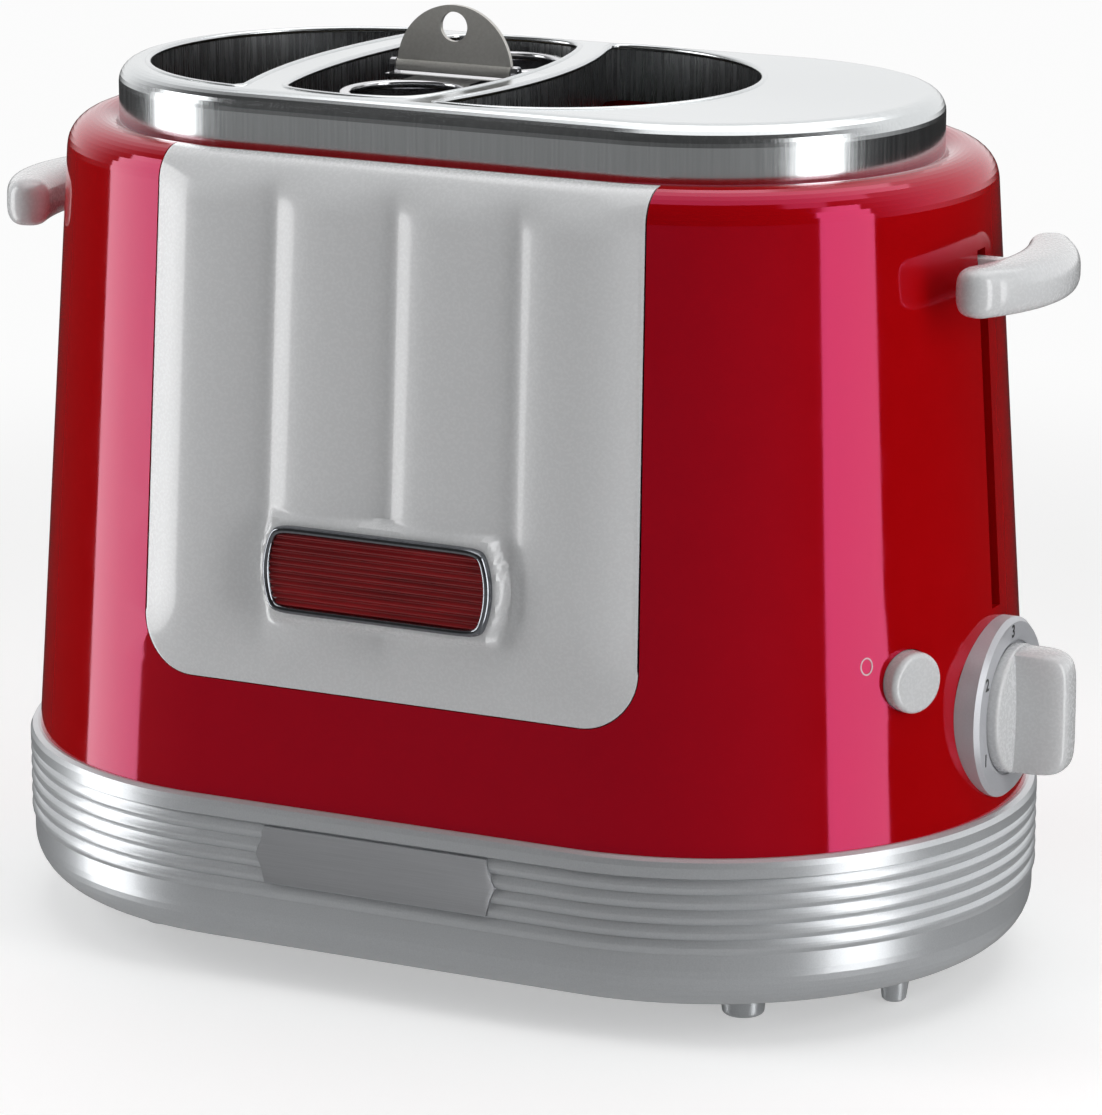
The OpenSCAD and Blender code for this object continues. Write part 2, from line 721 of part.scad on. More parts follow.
module bush(x) {
    color("goldenrod") translate([x, 0, bush_z[0]]) difference() {
        cylinder(h = bush_z[1] - bush_z[0], r = bush_r);
        translate([0, 0, -eps]) cylinder(h = bush_z[1] - bush_z[0] + 2 * eps, r = rod_r + run_gap);
    }
}
module carriage_bush_left() { bush(rod_x[0]); }
module carriage_bush_right() { bush(rod_x[1]); }

// Ring round the chassis that joins both levers and carries the racks
module carriage_ring() {
    color("slategray") difference() {
        union() {
            difference() {
                plan_plate(ring_d[0], ring_z[0], ring_z[1]);
                plan_plate(ring_d[1], ring_z[0] - eps, ring_z[1] + eps);
            }
            box_between([latch_x[0], -arm_half, ring_z[0]], [half_len - ring_d[0] - 1, arm_half, ring_z[1]]);
            box_between([latch_x[0], 0, ring_z[0]], [latch_x[1], latch_y + 7, ring_z[0] + 4]);
        }
        for (x = rod_x) translate([x, 0, 0]) cylinder(h = rim_z, r = bush_r);
    }
}

// Steel plate that the magnet holds
module latch_plate() {
    color("silver") box_between([latch_x[0], latch_y - 7, ring_z[0] - 2], [latch_x[1], latch_y + 7, ring_z[0]]);
}

// Outline of a lever's grip: a crescent that follows the casing's end, inset by c
function lever_mid(a, c) = let (r0 = half_wid - lean_at(lever_z - lever_travel) + 1.2)
    [r0 + c, lever_reach - end_x - c - (lever_reach - end_x - r0 - 12) * pow(a, 2)];
lever_ang = asin((lever_half - 6.2) / (half_wid + 3));
function lever_tip(b, c, side) =
    let (q = lever_mid(1, c), rm = (q[0] + q[1]) / 2, rt = (q[1] - q[0]) / 2)
    [end_x + rm * cos(lever_ang) + rt * cos(lever_ang + b),
        side * (rm * sin(lever_ang) + rt * sin(lever_ang + b))];
function lever_outline(c) = concat(
    [for (i = [-7 : 7]) let (a = i / 7, q = lever_mid(a, c))
        [end_x + q[1] * cos(a * lever_ang), q[1] * sin(a * lever_ang)]],
    [for (i = [1 : 5]) lever_tip(180 * i / 6, c, 1)],
    [for (i = [7 : -1 : -7]) let (a = i / 7, q = lever_mid(a, c))
        [end_x + q[0] * cos(a * lever_ang), q[0] * sin(a * lever_ang)]],
    [for (i = [5 : -1 : 1]) lever_tip(180 * i / 6, c, -1)]);

module lever(turn) {
    soft = 3.8;
    h = lever_t / 2 - soft;
    color("whitesmoke") rotate([0, 0, turn]) {
        translate([0, 0, lever_z]) skin([for (k = [-4 : 4])
            let (b = k == 0 ? 0 : sign(k) * (abs(k) - 1) * 30, z = sign(k) * h + soft * sin(b))
            if (k != 0) [for (q = lever_outline(soft * (1 - cos(b)))) [q[0], q[1], z]]]);
        box_between([half_len - ring_d[0] - 0.01, -slot_w / 2 + 0.5, lever_z - stem_h / 2],
            [half_len, slot_w / 2 - 0.5, lever_z + stem_h / 2]);
    }
}
module lever_right() { lever(0); }
module lever_left() { lever(180); }

// Wire rack that hangs from the carriage ring: long wires across, cross wires welded on them
module rack(xs, z, cross) {
    color("silver") {
        for (x = xs) let (y = plan_y(x, (ring_d[0] + ring_d[1]) / 2)) {
            rod_between([x, -y - wire_r, z], [x, y + wire_r, z], wire_r);
            for (s = [-1, 1]) rod_between([x, s * y, z], [x, s * y, ring_z[0]], hanger_r);
        }
        for (y = cross) translate([0, y, z + cross_rise])
            rod_between([xs[0] - wire_r, 0, 0], [xs[1] + wire_r, 0, 0], wire_r);
    }
}
module bun_rack_left() { rack(rack_left_x, rack_z, [-rack_cross, 0, rack_cross]); }
module bun_rack_right() { rack(rack_right_x, rack_z, [-rack_cross, 0, rack_cross]); }
module basket_rest() { rack(rack_mid_x, rest_z, [basket_y - well_off, basket_y + well_off]); }

// ---- electrics ----

// Electromagnet on a bracket from the right chassis wall
module hold_magnet() {
    x0 = right_wall_x + plate_t;
    color("dimgray") {
        translate([(latch_x[0] + latch_x[1]) / 2, latch_y, magnet_top - 20]) {
            cylinder(h = 20, r = 2.5);
            translate([0, 0, 1.5]) cylinder(h = 17, r = 4.6);
        }
        box_between([x0, latch_y - 7, magnet_top - 22], [latch_x[1], latch_y + 7, magnet_top - 20]);
        box_between([x0, latch_y - 7, magnet_top - 34], [x0 + 1.5, latch_y + 7, magnet_top - 20]);
    }
}

// Upright circuit board with a relay and three capacitors
module control_board() {
    color("darkgreen") box_between([pcb_x, pcb_y[0], floor_z], [pcb_x + pcb_t, pcb_y[1], 66]);
    color("royalblue") box_between([pcb_x + pcb_t, 20, 42], [pcb_x + pcb_t + 10, 38, 58]);
    color("black") for (y = [18, 27, 36]) translate([pcb_x + pcb_t, y, 30])
        rotate([0, 90, 0]) cylinder(h = 9, r = 3.5);
}

// Ring with a bevelled face; its back follows the leaning shell
module dial_ring() {
    face_bevel = 1.2;
    color("silver") difference() {
        union() {
            difference() {
                translate([dial_back, 0, dial_z]) rotate([0, 90, 0]) {
                    cylinder(h = dial_face - face_bevel - dial_back, r = dial_r);
                    translate([0, 0, dial_face - face_bevel - dial_back])
                        cylinder(h = face_bevel, r1 = dial_r, r2 = dial_r - face_bevel);
                }
                sweep([[lean_at(seam_z - 10), seam_z - 10], [lean_at(130), 130], [40, 130], [40, seam_z - 10]]);
            }
            translate([dial_back, 0, dial_z]) rotate([0, 90, 0])
                cylinder(h = dial_face - 2 - dial_back, r = dial_neck);
        }
        translate([dial_face - 0.8, 0, dial_z]) rotate([0, 90, 0]) cylinder(h = 5, r = knob_r + 0.8);
        translate([dial_back - 5, 0, dial_z]) rotate([0, 90, 0]) cylinder(h = 30, r = shaft_r + 1);
    }
}

// Clockwork timer behind the ring
module timer_body() {
    color("lightgray") difference() {
        union() {
            box_between([timer_x, -timer_half, dial_z - timer_half],
                [dial_back - 3, timer_half, dial_z + timer_half]);
            translate([dial_back - 4, 0, dial_z]) rotate([0, 90, 0]) cylinder(h = 4, r = 9);
        }
        translate([timer_x + 5, 0, dial_z]) rotate([0, 90, 0]) cylinder(h = 40, r = shaft_r + run_gap);
    }
}

module timer_shaft() {
    color("silver") translate([timer_x + 5 + gap, 0, dial_z]) rotate([0, 90, 0])
        cylinder(h = knob_reach - 6 - timer_x - 5 - gap, r = shaft_r);
}

// Round knob with a broad upright grip
module timer_knob() {
    k0 = dial_face - 0.8 + knob_gap;
    l = knob_reach - k0;
    color("whitesmoke") translate([k0, 0, dial_z]) rotate([0, 90, 0]) difference() {
        intersection() {
            rotate_extrude($fn = 72) polygon(concat(
                [[0, 0], [knob_r - 0.4, 0], [knob_r, 0.4], [knob_r - 0.2, 3.5]],
                [for (i = [0 : 6]) let (a = 90 * i / 6) [knob_r - 3.2 + 2.6 * cos(a), l - 3 + 3 * sin(a)]],
                [[0, l]]));
            union() {
                cylinder(h = 3.6, r = knob_r + 1);
                translate([-knob_r - 1, -5.8, 0]) cube([2 * knob_r + 2, 11.6, l + 1]);
            }
        }
        translate([0, 0, -eps]) cylinder(h = l - 6 + eps, r = shaft_r + run_gap);
    }
}

// Button with a stem towards its switch
module stop_button() {
    color("whitesmoke") {
        translate([end_x, 0, button_z]) rotate([0, 90, button_ang]) rotate_extrude(convexity = 4) polygon(concat(
            [[0, stem_end], [2.5, stem_end], [2.5, button_out - 12], [button_r, button_out - 12]],
            arc(button_r - 1.5, button_out - 1.5, 1.5, 0, 90, 5), [[0, button_out]]));
    }
}

// Ring behind the shell that guides the button
module button_guide() {
    color("dimgray") difference() {
        along_button(button_out - 14, half_wid, button_r + 2.5);
        along_button(button_out - 20, half_wid + 5, button_r + gap);
        outside_wall(wall_t);
    }
}

// Switch behind the button, on a bracket from the right chassis wall
module stop_switch() {
    x0 = right_wall_x + plate_t;
    color("black") translate([end_x, 0, button_z]) rotate([0, 0, button_ang])
        box_between([48, -6, -switch_half], [stem_end - button_travel - 0.4, 6, switch_half]);
    color("gray") {
        box_between([x0, -32, button_z - switch_half - 1.5],
            [end_x + 52 * cos(button_ang), -18, button_z - switch_half + eps]);
        box_between([x0, -32, button_z - switch_half - 14], [x0 + 1.5, -18, button_z - switch_half]);
    }
}

// ---- basket ----

function well_y() = [basket_y - well_off, basket_y + well_off];

// Two round wells with rolled rims, vent slots and a pierced floor
module basket_wells() {
    color("silver") difference() {
        union() for (y = well_y()) translate([basket_x, y, 0]) {
            translate([0, 0, rim_top - well_depth]) cylinder(h = well_depth, r = well_r);
            translate([0, 0, rim_top - 1]) cylinder(h = 1, r = well_rim_r);
        }
        for (y = well_y()) translate([basket_x, y, 0]) {
            translate([0, 0, rim_top - well_depth + well_t]) cylinder(h = well_depth, r = well_r - well_t);
            for (a = [0 : 45 : 135]) rotate([0, 0, a + 22.5])
                box_between([-well_r - 2, -2, rim_top - well_depth + 10], [well_r + 2, 2, rim_top - 16]);
            translate([0, 0, rim_top - well_depth - eps]) cylinder(h = 5, r = 4);
        }
    }
}

// Web between the rims, with the two ears of the handle's hinge
module basket_bridge() {
    color("silver") difference() {
        union() {
            box_between([basket_x - 10, basket_y - 14, rim_top - 1], [basket_x + 10, basket_y + 14, rim_top]);
            box_between([basket_x - handle_r - 2, basket_y - 4, rim_top - 1],
                [basket_x + handle_r + 2, basket_y + 4, rim_top]);
            for (s = [-1, 1]) translate([basket_x + s * (handle_r + 1.2), basket_y, hinge_z]) {
                rotate([0, 90, 0]) cylinder(h = 1.6, r = knuckle_r, center = true);
                box_between([-0.8, -knuckle_r, rim_top - 1 - hinge_z], [0.8, knuckle_r, 0]);
            }
        }
        for (y = well_y()) translate([basket_x, y, rim_top - 5]) cylinder(h = 10, r = well_rim_r);
        translate([basket_x, basket_y, hinge_z]) rotate([0, 90, 0])
            cylinder(h = 60, r = pin_r + run_gap, center = true);
    }
}

module hinge_pin() {
    color("gray") translate([basket_x, basket_y, hinge_z]) rotate([0, 90, 0])
        cylinder(h = 2 * handle_r + 4.4, r = pin_r, center = true);
}

// Half disc that stands on the hinge and folds either way
module basket_handle() {
    color("silver") translate([basket_x, basket_y, hinge_z]) difference() {
        union() {
            rotate([90, 0, 0]) linear_extrude(handle_t, center = true) difference() {
                circle(r = handle_r, $fn = 96);
                translate([-handle_r - 1, -2 * handle_r]) square([2 * handle_r + 2, 2 * handle_r]);
            }
            rotate([0, 90, 0]) cylinder(h = 2 * handle_r, r = knuckle_r, center = true);
        }
        translate([0, 0, 0.66 * handle_r]) rotate([90, 0, 0]) cylinder(h = 10, r = handle_hole, center = true);
        rotate([0, 90, 0]) cylinder(h = 60, r = pin_r + run_gap, center = true);
    }
}

base_shell();
foot_front_left();
foot_front_right();
foot_rear_left();
foot_rear_right();
end_pegs();
base_screws();
name_plate();
crumb_tray();
cord_gland();
outer_shell();
front_panel();
badge_bezel();
badge_lens();
top_cover();
left_bun_collar();
middle_collar();
right_bun_collar();
chassis_front();
chassis_rear();
chassis_left();
chassis_right();
heater_board_1();
heater_board_2();
heater_board_3();
heater_board_4();
heating_wire_1();
heating_wire_2();
heating_wire_3();
heating_wire_4();
guide_rod_left();
guide_rod_right();
rod_bracket_left();
rod_bracket_right();
return_spring_left();
return_spring_right();
carriage_ring();
carriage_bush_left();
carriage_bush_right();
latch_plate();
lever_left();
lever_right();
bun_rack_left();
bun_rack_right();
basket_rest();
hold_magnet();
control_board();
dial_ring();
timer_body();
timer_shaft();
timer_knob();
stop_button();
button_guide();
stop_switch();
basket_wells();
basket_bridge();
hinge_pin();
basket_handle();
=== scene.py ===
import math
import bpy
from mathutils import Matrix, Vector


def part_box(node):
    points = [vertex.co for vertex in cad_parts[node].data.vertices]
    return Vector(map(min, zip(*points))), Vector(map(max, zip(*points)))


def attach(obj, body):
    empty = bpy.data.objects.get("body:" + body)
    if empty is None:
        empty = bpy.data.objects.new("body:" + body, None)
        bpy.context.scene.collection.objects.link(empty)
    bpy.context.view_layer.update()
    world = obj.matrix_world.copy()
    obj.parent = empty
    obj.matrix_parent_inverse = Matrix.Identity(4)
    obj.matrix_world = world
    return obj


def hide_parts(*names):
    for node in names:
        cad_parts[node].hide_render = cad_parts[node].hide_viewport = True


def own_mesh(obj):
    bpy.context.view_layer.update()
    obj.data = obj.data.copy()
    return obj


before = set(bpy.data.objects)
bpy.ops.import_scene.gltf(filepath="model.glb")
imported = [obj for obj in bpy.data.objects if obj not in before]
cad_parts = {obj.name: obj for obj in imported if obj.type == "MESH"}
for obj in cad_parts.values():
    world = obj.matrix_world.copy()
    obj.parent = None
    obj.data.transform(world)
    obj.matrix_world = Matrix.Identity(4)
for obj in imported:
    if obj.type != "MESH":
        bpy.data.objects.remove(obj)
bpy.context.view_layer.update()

scene = bpy.context.scene
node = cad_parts

# ---- Camera ----
# It stands where the photograph was taken from, a little above the toaster and to its right.
# The photograph was cropped off centre, so the frame is shifted by that much and no more.
photo_w, photo_h = 1102, 1115
focal_px = 5328.6
optical_axis_px = (525.65, 537.42)
camera_data = bpy.data.cameras.new("photo_camera")
camera_data.sensor_width = 36
camera_data.lens = focal_px * camera_data.sensor_width / photo_h
camera_data.shift_x = (photo_w / 2 - optical_axis_px[0]) / photo_h
camera_data.shift_y = (optical_axis_px[1] - photo_h / 2) / photo_h
camera_data.clip_start, camera_data.clip_end = 0.05, 100
camera = bpy.data.objects.new("photo_camera", camera_data)
scene.collection.objects.link(camera)
camera.location = (0.62308, -1.25142, 0.45981)
looks_at = Vector((0, 0, 0.10717))
camera.rotation_mode = "QUATERNION"
camera.rotation_quaternion = (looks_at - camera.location).to_track_quat("-Z", "Y")
scene.camera = camera
scene.view_settings.view_transform = "Standard"


# ---- Studio: table, room and lamps ----
# A pale matt table in a white room, which is darker on the camera's side, as behind a photographer.
# Two tall softboxes stand at the ends and one hangs overhead; the red shell mirrors both tall ones.
def paint_shop(name):
    """A new material with its node tree and its shader."""
    material = bpy.data.materials.new(name)
    material.use_nodes = True
    return material, material.node_tree, material.node_tree.nodes["Principled BSDF"]


def add(tree, kind, settings=None, **sockets):
    """A node of that kind, with its own settings and the values of its input sockets."""
    made = tree.nodes.new(kind)
    for key, value in (settings or {}).items():
        setattr(made, key, value)
    for key, value in sockets.items():
        made.inputs[key.replace("_", " ")].default_value = value
    return made


def sum_of(tree, operation, first, second):
    """A Math node on two outputs or numbers; gives its output."""
    made = add(tree, "ShaderNodeMath", {"operation": operation})
    for place, value in enumerate((first, second)):
        if isinstance(value, (int, float)):
            made.inputs[place].default_value = value
        else:
            tree.links.new(value, made.inputs[place])
    return made.outputs[0]


table_paint, tree, shader = paint_shop("pale_table")
table_grey, table_rough, table_shine = 0.80, 0.6, 0.2
near_glow, far_white = 0.39, 0.97
fade_from, fade_to = 0.30, 0.75
table_r, table_z, table_steps = 9, -0.0002, 96
shader.inputs["Base Color"].default_value = (table_grey, table_grey, table_grey, 1)
shader.inputs["Roughness"].default_value = table_rough
shader.inputs["Specular IOR Level"].default_value = table_shine
path = add(tree, "ShaderNodeLightPath")
spot = add(tree, "ShaderNodeTexCoord")
away = add(tree, "ShaderNodeVectorMath", {"operation": "LENGTH"})
tree.links.new(spot.outputs["Object"], away.inputs[0])
smooth = {"interpolation_type": "SMOOTHSTEP"}
fade = add(tree, "ShaderNodeMapRange", smooth, From_Min=fade_from, From_Max=fade_to)
tree.links.new(away.outputs["Value"], fade.inputs["Value"])
lit_share = sum_of(tree, "SUBTRACT", 1.0, fade.outputs["Result"])
glow_grey = sum_of(tree, "ADD", sum_of(tree, "MULTIPLY", fade.outputs["Result"], far_white),
                   sum_of(tree, "MULTIPLY", lit_share, near_glow))
glow = add(tree, "ShaderNodeEmission", Color=(1, 1, 1, 1))
tree.links.new(glow_grey, glow.inputs["Strength"])
lit = add(tree, "ShaderNodeMixShader")
dark = add(tree, "ShaderNodeEmission", Color=(0, 0, 0, 1))
tree.links.new(fade.outputs["Result"], lit.inputs["Fac"])
tree.links.new(shader.outputs[0], lit.inputs[1])
tree.links.new(dark.outputs[0], lit.inputs[2])
shown = add(tree, "ShaderNodeAddShader")
tree.links.new(lit.outputs[0], shown.inputs[0])
tree.links.new(glow.outputs[0], shown.inputs[1])
through = add(tree, "ShaderNodeMixShader")
open_below = add(tree, "ShaderNodeBsdfTransparent")
tree.links.new(path.outputs["Is Glossy Ray"], through.inputs["Fac"])
tree.links.new(shader.outputs[0], through.inputs[1])
tree.links.new(open_below.outputs[0], through.inputs[2])
either = add(tree, "ShaderNodeMixShader")
tree.links.new(path.outputs["Is Camera Ray"], either.inputs["Fac"])
tree.links.new(through.outputs[0], either.inputs[1])
tree.links.new(shown.outputs[0], either.inputs[2])
tree.links.new(either.outputs[0], tree.nodes["Material Output"].inputs["Surface"])

bpy.ops.object.select_all(action="DESELECT")
bpy.ops.mesh.primitive_circle_add(vertices=table_steps, radius=table_r, fill_type="NGON",
                                  location=(0, 0, table_z))
table = bpy.context.object
table.name = "studio_table"
table.data.materials.append(table_paint)

world = bpy.data.worlds.new("white_room")
scene.world = world
world.use_nodes = True
tree = world.node_tree
room_light = 0.15
mirrored_front, mirrored_back = 0.06, 1.10
mirrored_table, table_front, table_back = 0.36, 0.25, 0.03
back_wall_y, skyline_z = (-0.25, 0.6), (-0.10, 0.06)
table_far_y, table_near_z = (-0.75, 0.05), (-0.65, -0.25)
path = add(tree, "ShaderNodeLightPath")
toward = add(tree, "ShaderNodeTexCoord")
parts = add(tree, "ShaderNodeSeparateXYZ")
tree.links.new(toward.outputs["Generated"], parts.inputs[0])
behind = add(tree, "ShaderNodeMapRange", smooth, From_Min=back_wall_y[0], From_Max=back_wall_y[1],
             To_Min=mirrored_front, To_Max=mirrored_back)
tree.links.new(parts.outputs["Y"], behind.inputs["Value"])
below = add(tree, "ShaderNodeMapRange", smooth, From_Min=skyline_z[0], From_Max=skyline_z[1],
            To_Min=1, To_Max=0)
tree.links.new(parts.outputs["Z"], below.inputs["Value"])
table_far = add(tree, "ShaderNodeMapRange", smooth, From_Min=table_far_y[0], From_Max=table_far_y[1],
                To_Min=table_front, To_Max=table_back)
tree.links.new(parts.outputs["Y"], table_far.inputs["Value"])
table_mirrored = add(tree, "ShaderNodeMapRange", smooth, From_Min=table_near_z[0],
                     From_Max=table_near_z[1], To_Min=mirrored_table)
tree.links.new(table_far.outputs["Result"], table_mirrored.inputs["To Max"])
tree.links.new(parts.outputs["Z"], table_mirrored.inputs["Value"])
above_share = sum_of(tree, "SUBTRACT", 1.0, below.outputs["Result"])
upper = sum_of(tree, "MULTIPLY", above_share, behind.outputs["Result"])
lower = sum_of(tree, "MULTIPLY", below.outputs["Result"], table_mirrored.outputs["Result"])
mirrored = sum_of(tree, "ADD", upper, lower)
glossy = path.outputs["Is Glossy Ray"]
plain = sum_of(tree, "MULTIPLY", sum_of(tree, "SUBTRACT", 1.0, glossy), room_light)
light_in = sum_of(tree, "ADD", plain, sum_of(tree, "MULTIPLY", glossy, mirrored))
seen = sum_of(tree, "MAXIMUM", path.outputs["Is Camera Ray"], path.outputs["Is Transmission Ray"])
tree.nodes["Background"].inputs["Color"].default_value = (1, 1, 1, 1)
tree.links.new(sum_of(tree, "MAXIMUM", seen, light_in), tree.nodes["Background"].inputs["Strength"])


def softbox(name, place, aim, width, height, watts):
    """A soft panel lamp at place, turned to aim."""
    lamp = bpy.data.lights.new(name, "AREA")
    lamp.shape = "RECTANGLE"
    lamp.size, lamp.size_y = width, height
    lamp.energy = watts
    holder = bpy.data.objects.new(name, lamp)
    scene.collection.objects.link(holder)
    holder.location = place
    holder.rotation_euler = (Vector(aim) - Vector(place)).to_track_quat("-Z", "Y").to_euler()
    holder.visible_camera = False


softbox("left_softbox", (-0.61, -0.27, 0.16), (0, 0, 0.16), 0.30, 0.95, 3.5)
softbox("right_softbox", (0.66, -0.15, 0.14), (0, 0, 0.14), 0.25, 0.95, 3.2)
softbox("overhead_softbox", (0.12, 0.05, 1.00), (0, 0, 0.1), 1.0, 1.0, 4.6)


# ---- Base moulding, feet and end posts ----
# One deep moulding with five round ribs and a bowl below, in silver paint with a fine fleck.
# Four feet are screwed up into it, and a slim post under each end keeps it from tipping.
noise_span = (0.3, 0.7)


def grain(tree, shader, per_metre, depth, rough, stretch=(1, 1, 1)):
    """Noise that lifts the surface by depth and spreads its roughness between two values."""
    place = add(tree, "ShaderNodeTexCoord")
    stretched = add(tree, "ShaderNodeMapping", Scale=stretch)
    noise = add(tree, "ShaderNodeTexNoise", Scale=per_metre, Detail=4.0)
    tree.links.new(place.outputs["Object"], stretched.inputs["Vector"])
    tree.links.new(stretched.outputs[0], noise.inputs["Vector"])
    spread = add(tree, "ShaderNodeMapRange", From_Min=noise_span[0], From_Max=noise_span[1],
                 To_Min=rough[0], To_Max=rough[1])
    tree.links.new(noise.outputs["Fac"], spread.inputs["Value"])
    tree.links.new(spread.outputs["Result"], shader.inputs["Roughness"])
    bump = add(tree, "ShaderNodeBump", Strength=1.0, Distance=depth)
    tree.links.new(noise.outputs["Fac"], bump.inputs["Height"])
    tree.links.new(bump.outputs[0], shader.inputs["Normal"])
    return noise.outputs["Fac"]


def drift(tree, shader, source, low, high):
    """Base colour that drifts between two near shades with a noise."""
    ramp = add(tree, "ShaderNodeValToRGB")
    for stop, position, colour in zip(ramp.color_ramp.elements, noise_span, (low, high)):
        stop.position = position
        stop.color = (*colour, 1)
    tree.links.new(source, ramp.inputs["Fac"])
    tree.links.new(ramp.outputs["Color"], shader.inputs["Base Color"])


def finish_of(name, metal, low, high, rough, per_metre=900, depth=0.000003, stretch=(1, 1, 1), coat=0.0):
    """A surface finish: how metallic it is, its two shades, its roughness and its grain."""
    material, tree, shader = paint_shop(name)
    shader.inputs["Metallic"].default_value = metal
    shader.inputs["Coat Weight"].default_value = coat
    shader.inputs["Coat Roughness"].default_value = 0.05
    drift(tree, shader, grain(tree, shader, per_metre, depth, rough, stretch), low, high)
    return material


def dress(material, *names):
    """Gives CAD parts a finish."""
    for name in names:
        for part_slot in node[name].material_slots:
            part_slot.material = material


silver_paint = finish_of("silver_paint", 0.5, (0.55, 0.57, 0.59), (0.61, 0.63, 0.65), (0.30, 0.38),
                         per_metre=2400, depth=0.000001, coat=0.3)
dress(silver_paint, "base_shell", "foot_front_left", "foot_front_right", "foot_rear_left",
      "foot_rear_right", "end_pegs")

zinc = finish_of("zinc_screw", 1.0, (0.45, 0.45, 0.46), (0.55, 0.55, 0.56), (0.25, 0.45))
dress(zinc, "base_screws")


# ---- Name plate ----
# A thin pressed aluminium plate with bracket-shaped ends, let into the ribs of the base.
# Its raised border is bright, and its sunk field is brushed from end to end.
plate_low, plate_high = (Vector(c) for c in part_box("name_plate"))
plate_mid = (plate_low + plate_high) / 2
plate_tip = plate_high.x
tip_len, tip_curve = 0.0025, 0.0009
plate_shoulder = plate_tip - tip_len
plate_half_h = (plate_high.z - plate_low.z) / 2
plate_border = 0.0016
plate_sink = 0.0004
right_end = [(plate_shoulder, -1.0), (plate_shoulder + tip_curve, -0.5), (plate_tip, 0.0),
             (plate_shoulder + tip_curve, 0.5), (plate_shoulder, 1.0)]
outline = right_end + [(-x, z) for x, z in reversed(right_end)]


def begin(shape, name, **place):
    """Starts a new piece from a primitive, with nothing else selected."""
    bpy.ops.object.select_all(action="DESELECT")
    getattr(bpy.ops.mesh, "primitive_" + shape + "_add")(**place)
    piece = bpy.context.object
    piece.name = name
    return piece


def use_modifier(piece, kind, **values):
    """Adds a modifier to a piece and applies it."""
    bpy.ops.object.select_all(action="DESELECT")
    piece.select_set(True)
    bpy.context.view_layer.objects.active = piece
    made = piece.modifiers.new(kind.lower(), kind)
    for key, value in values.items():
        setattr(made, key, value)
    bpy.ops.object.modifier_apply(modifier=made.name)


def settle(piece, material, body, angle=35):
    """Smooths a finished piece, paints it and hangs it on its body."""
    bpy.ops.object.select_all(action="DESELECT")
    piece.select_set(True)
    bpy.context.view_layer.objects.active = piece
    bpy.ops.object.transform_apply(location=True, rotation=True, scale=True)
    bpy.ops.object.shade_smooth_by_angle(angle=math.radians(angle))
    piece.data.materials.clear()
    piece.data.materials.append(material)
    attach(piece, body)


plate = begin("circle", "bare_name_plate", vertices=len(outline), fill_type="NGON")
for corner, (x, z) in zip(plate.data.vertices, outline):
    corner.co = (x, plate_low.y, plate_mid.z + plate_half_h * z)
bpy.ops.object.mode_set(mode="EDIT")
bpy.ops.mesh.select_all(action="SELECT")
bpy.ops.mesh.inset(thickness=plate_border)
bpy.ops.transform.translate(value=(0, plate_sink, 0))
bpy.ops.object.mode_set(mode="OBJECT")
use_modifier(plate, "SOLIDIFY", thickness=plate_high.y - plate_low.y - plate_sink, offset=-1)
plate_metal = finish_of("brushed_aluminium", 0.6, (0.44, 0.45, 0.47), (0.50, 0.51, 0.53), (0.30, 0.42),
                        per_metre=500, depth=0.0000005, stretch=(0.08, 1, 6))
settle(plate, plate_metal, "housing", angle=20)
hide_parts("name_plate")


# ---- Crumb tray and lead gland ----
# The tray and its rear wall are finished like the base; it slides out at the back on the floor inside.
# The gland is a black nylon collar with a flange, pushed into its hole from outside.
dress(silver_paint, "crumb_tray")
black_nylon = finish_of("black_nylon", 0.0, (0.012, 0.012, 0.013), (0.02, 0.02, 0.022), (0.4, 0.6),
                        per_metre=1500, depth=0.00001)
dress(black_nylon, "cord_gland")


# ---- Chassis, heater boards and ribbons ----
# Four walls of zinc-plated sheet stand on the base round the toasting chambers.
# Each heater is a mica board with one flat ribbon of resistance alloy wound to and fro over it.
zinc_sheet = finish_of("zinc_sheet", 1.0, (0.33, 0.33, 0.34), (0.38, 0.38, 0.39), (0.24, 0.34),
                       per_metre=500, depth=0.000001)
dress(zinc_sheet, "chassis_front", "chassis_rear", "chassis_left", "chassis_right",
      "rod_bracket_left", "rod_bracket_right")
mica = finish_of("mica_board", 0.1, (0.22, 0.16, 0.09), (0.42, 0.34, 0.22), (0.35, 0.6),
                 per_metre=260, depth=0.00003)
dress(mica, "heater_board_1", "heater_board_2", "heater_board_3", "heater_board_4")
ribbon_alloy = finish_of("ribbon_alloy", 1.0, (0.20, 0.15, 0.12), (0.32, 0.24, 0.19), (0.35, 0.55))
dress(ribbon_alloy, "heating_wire_1", "heating_wire_2", "heating_wire_3", "heating_wire_4")


# ---- Guide rods and return springs ----
# Two ground steel rods stand in bosses of the base; a wound spring round each one lifts the carriage.
# The springs stay on the base; they are drawn at one length and do not move with the carriage.
ground_steel = finish_of("ground_steel", 1.0, (0.50, 0.50, 0.51), (0.60, 0.60, 0.61), (0.12, 0.22),
                         per_metre=700, stretch=(1, 1, 0.1))
dress(ground_steel, "guide_rod_left", "guide_rod_right")
spring_steel = finish_of("spring_steel", 1.0, (0.38, 0.38, 0.40), (0.50, 0.50, 0.52), (0.18, 0.30))


weld_within = 0.000002


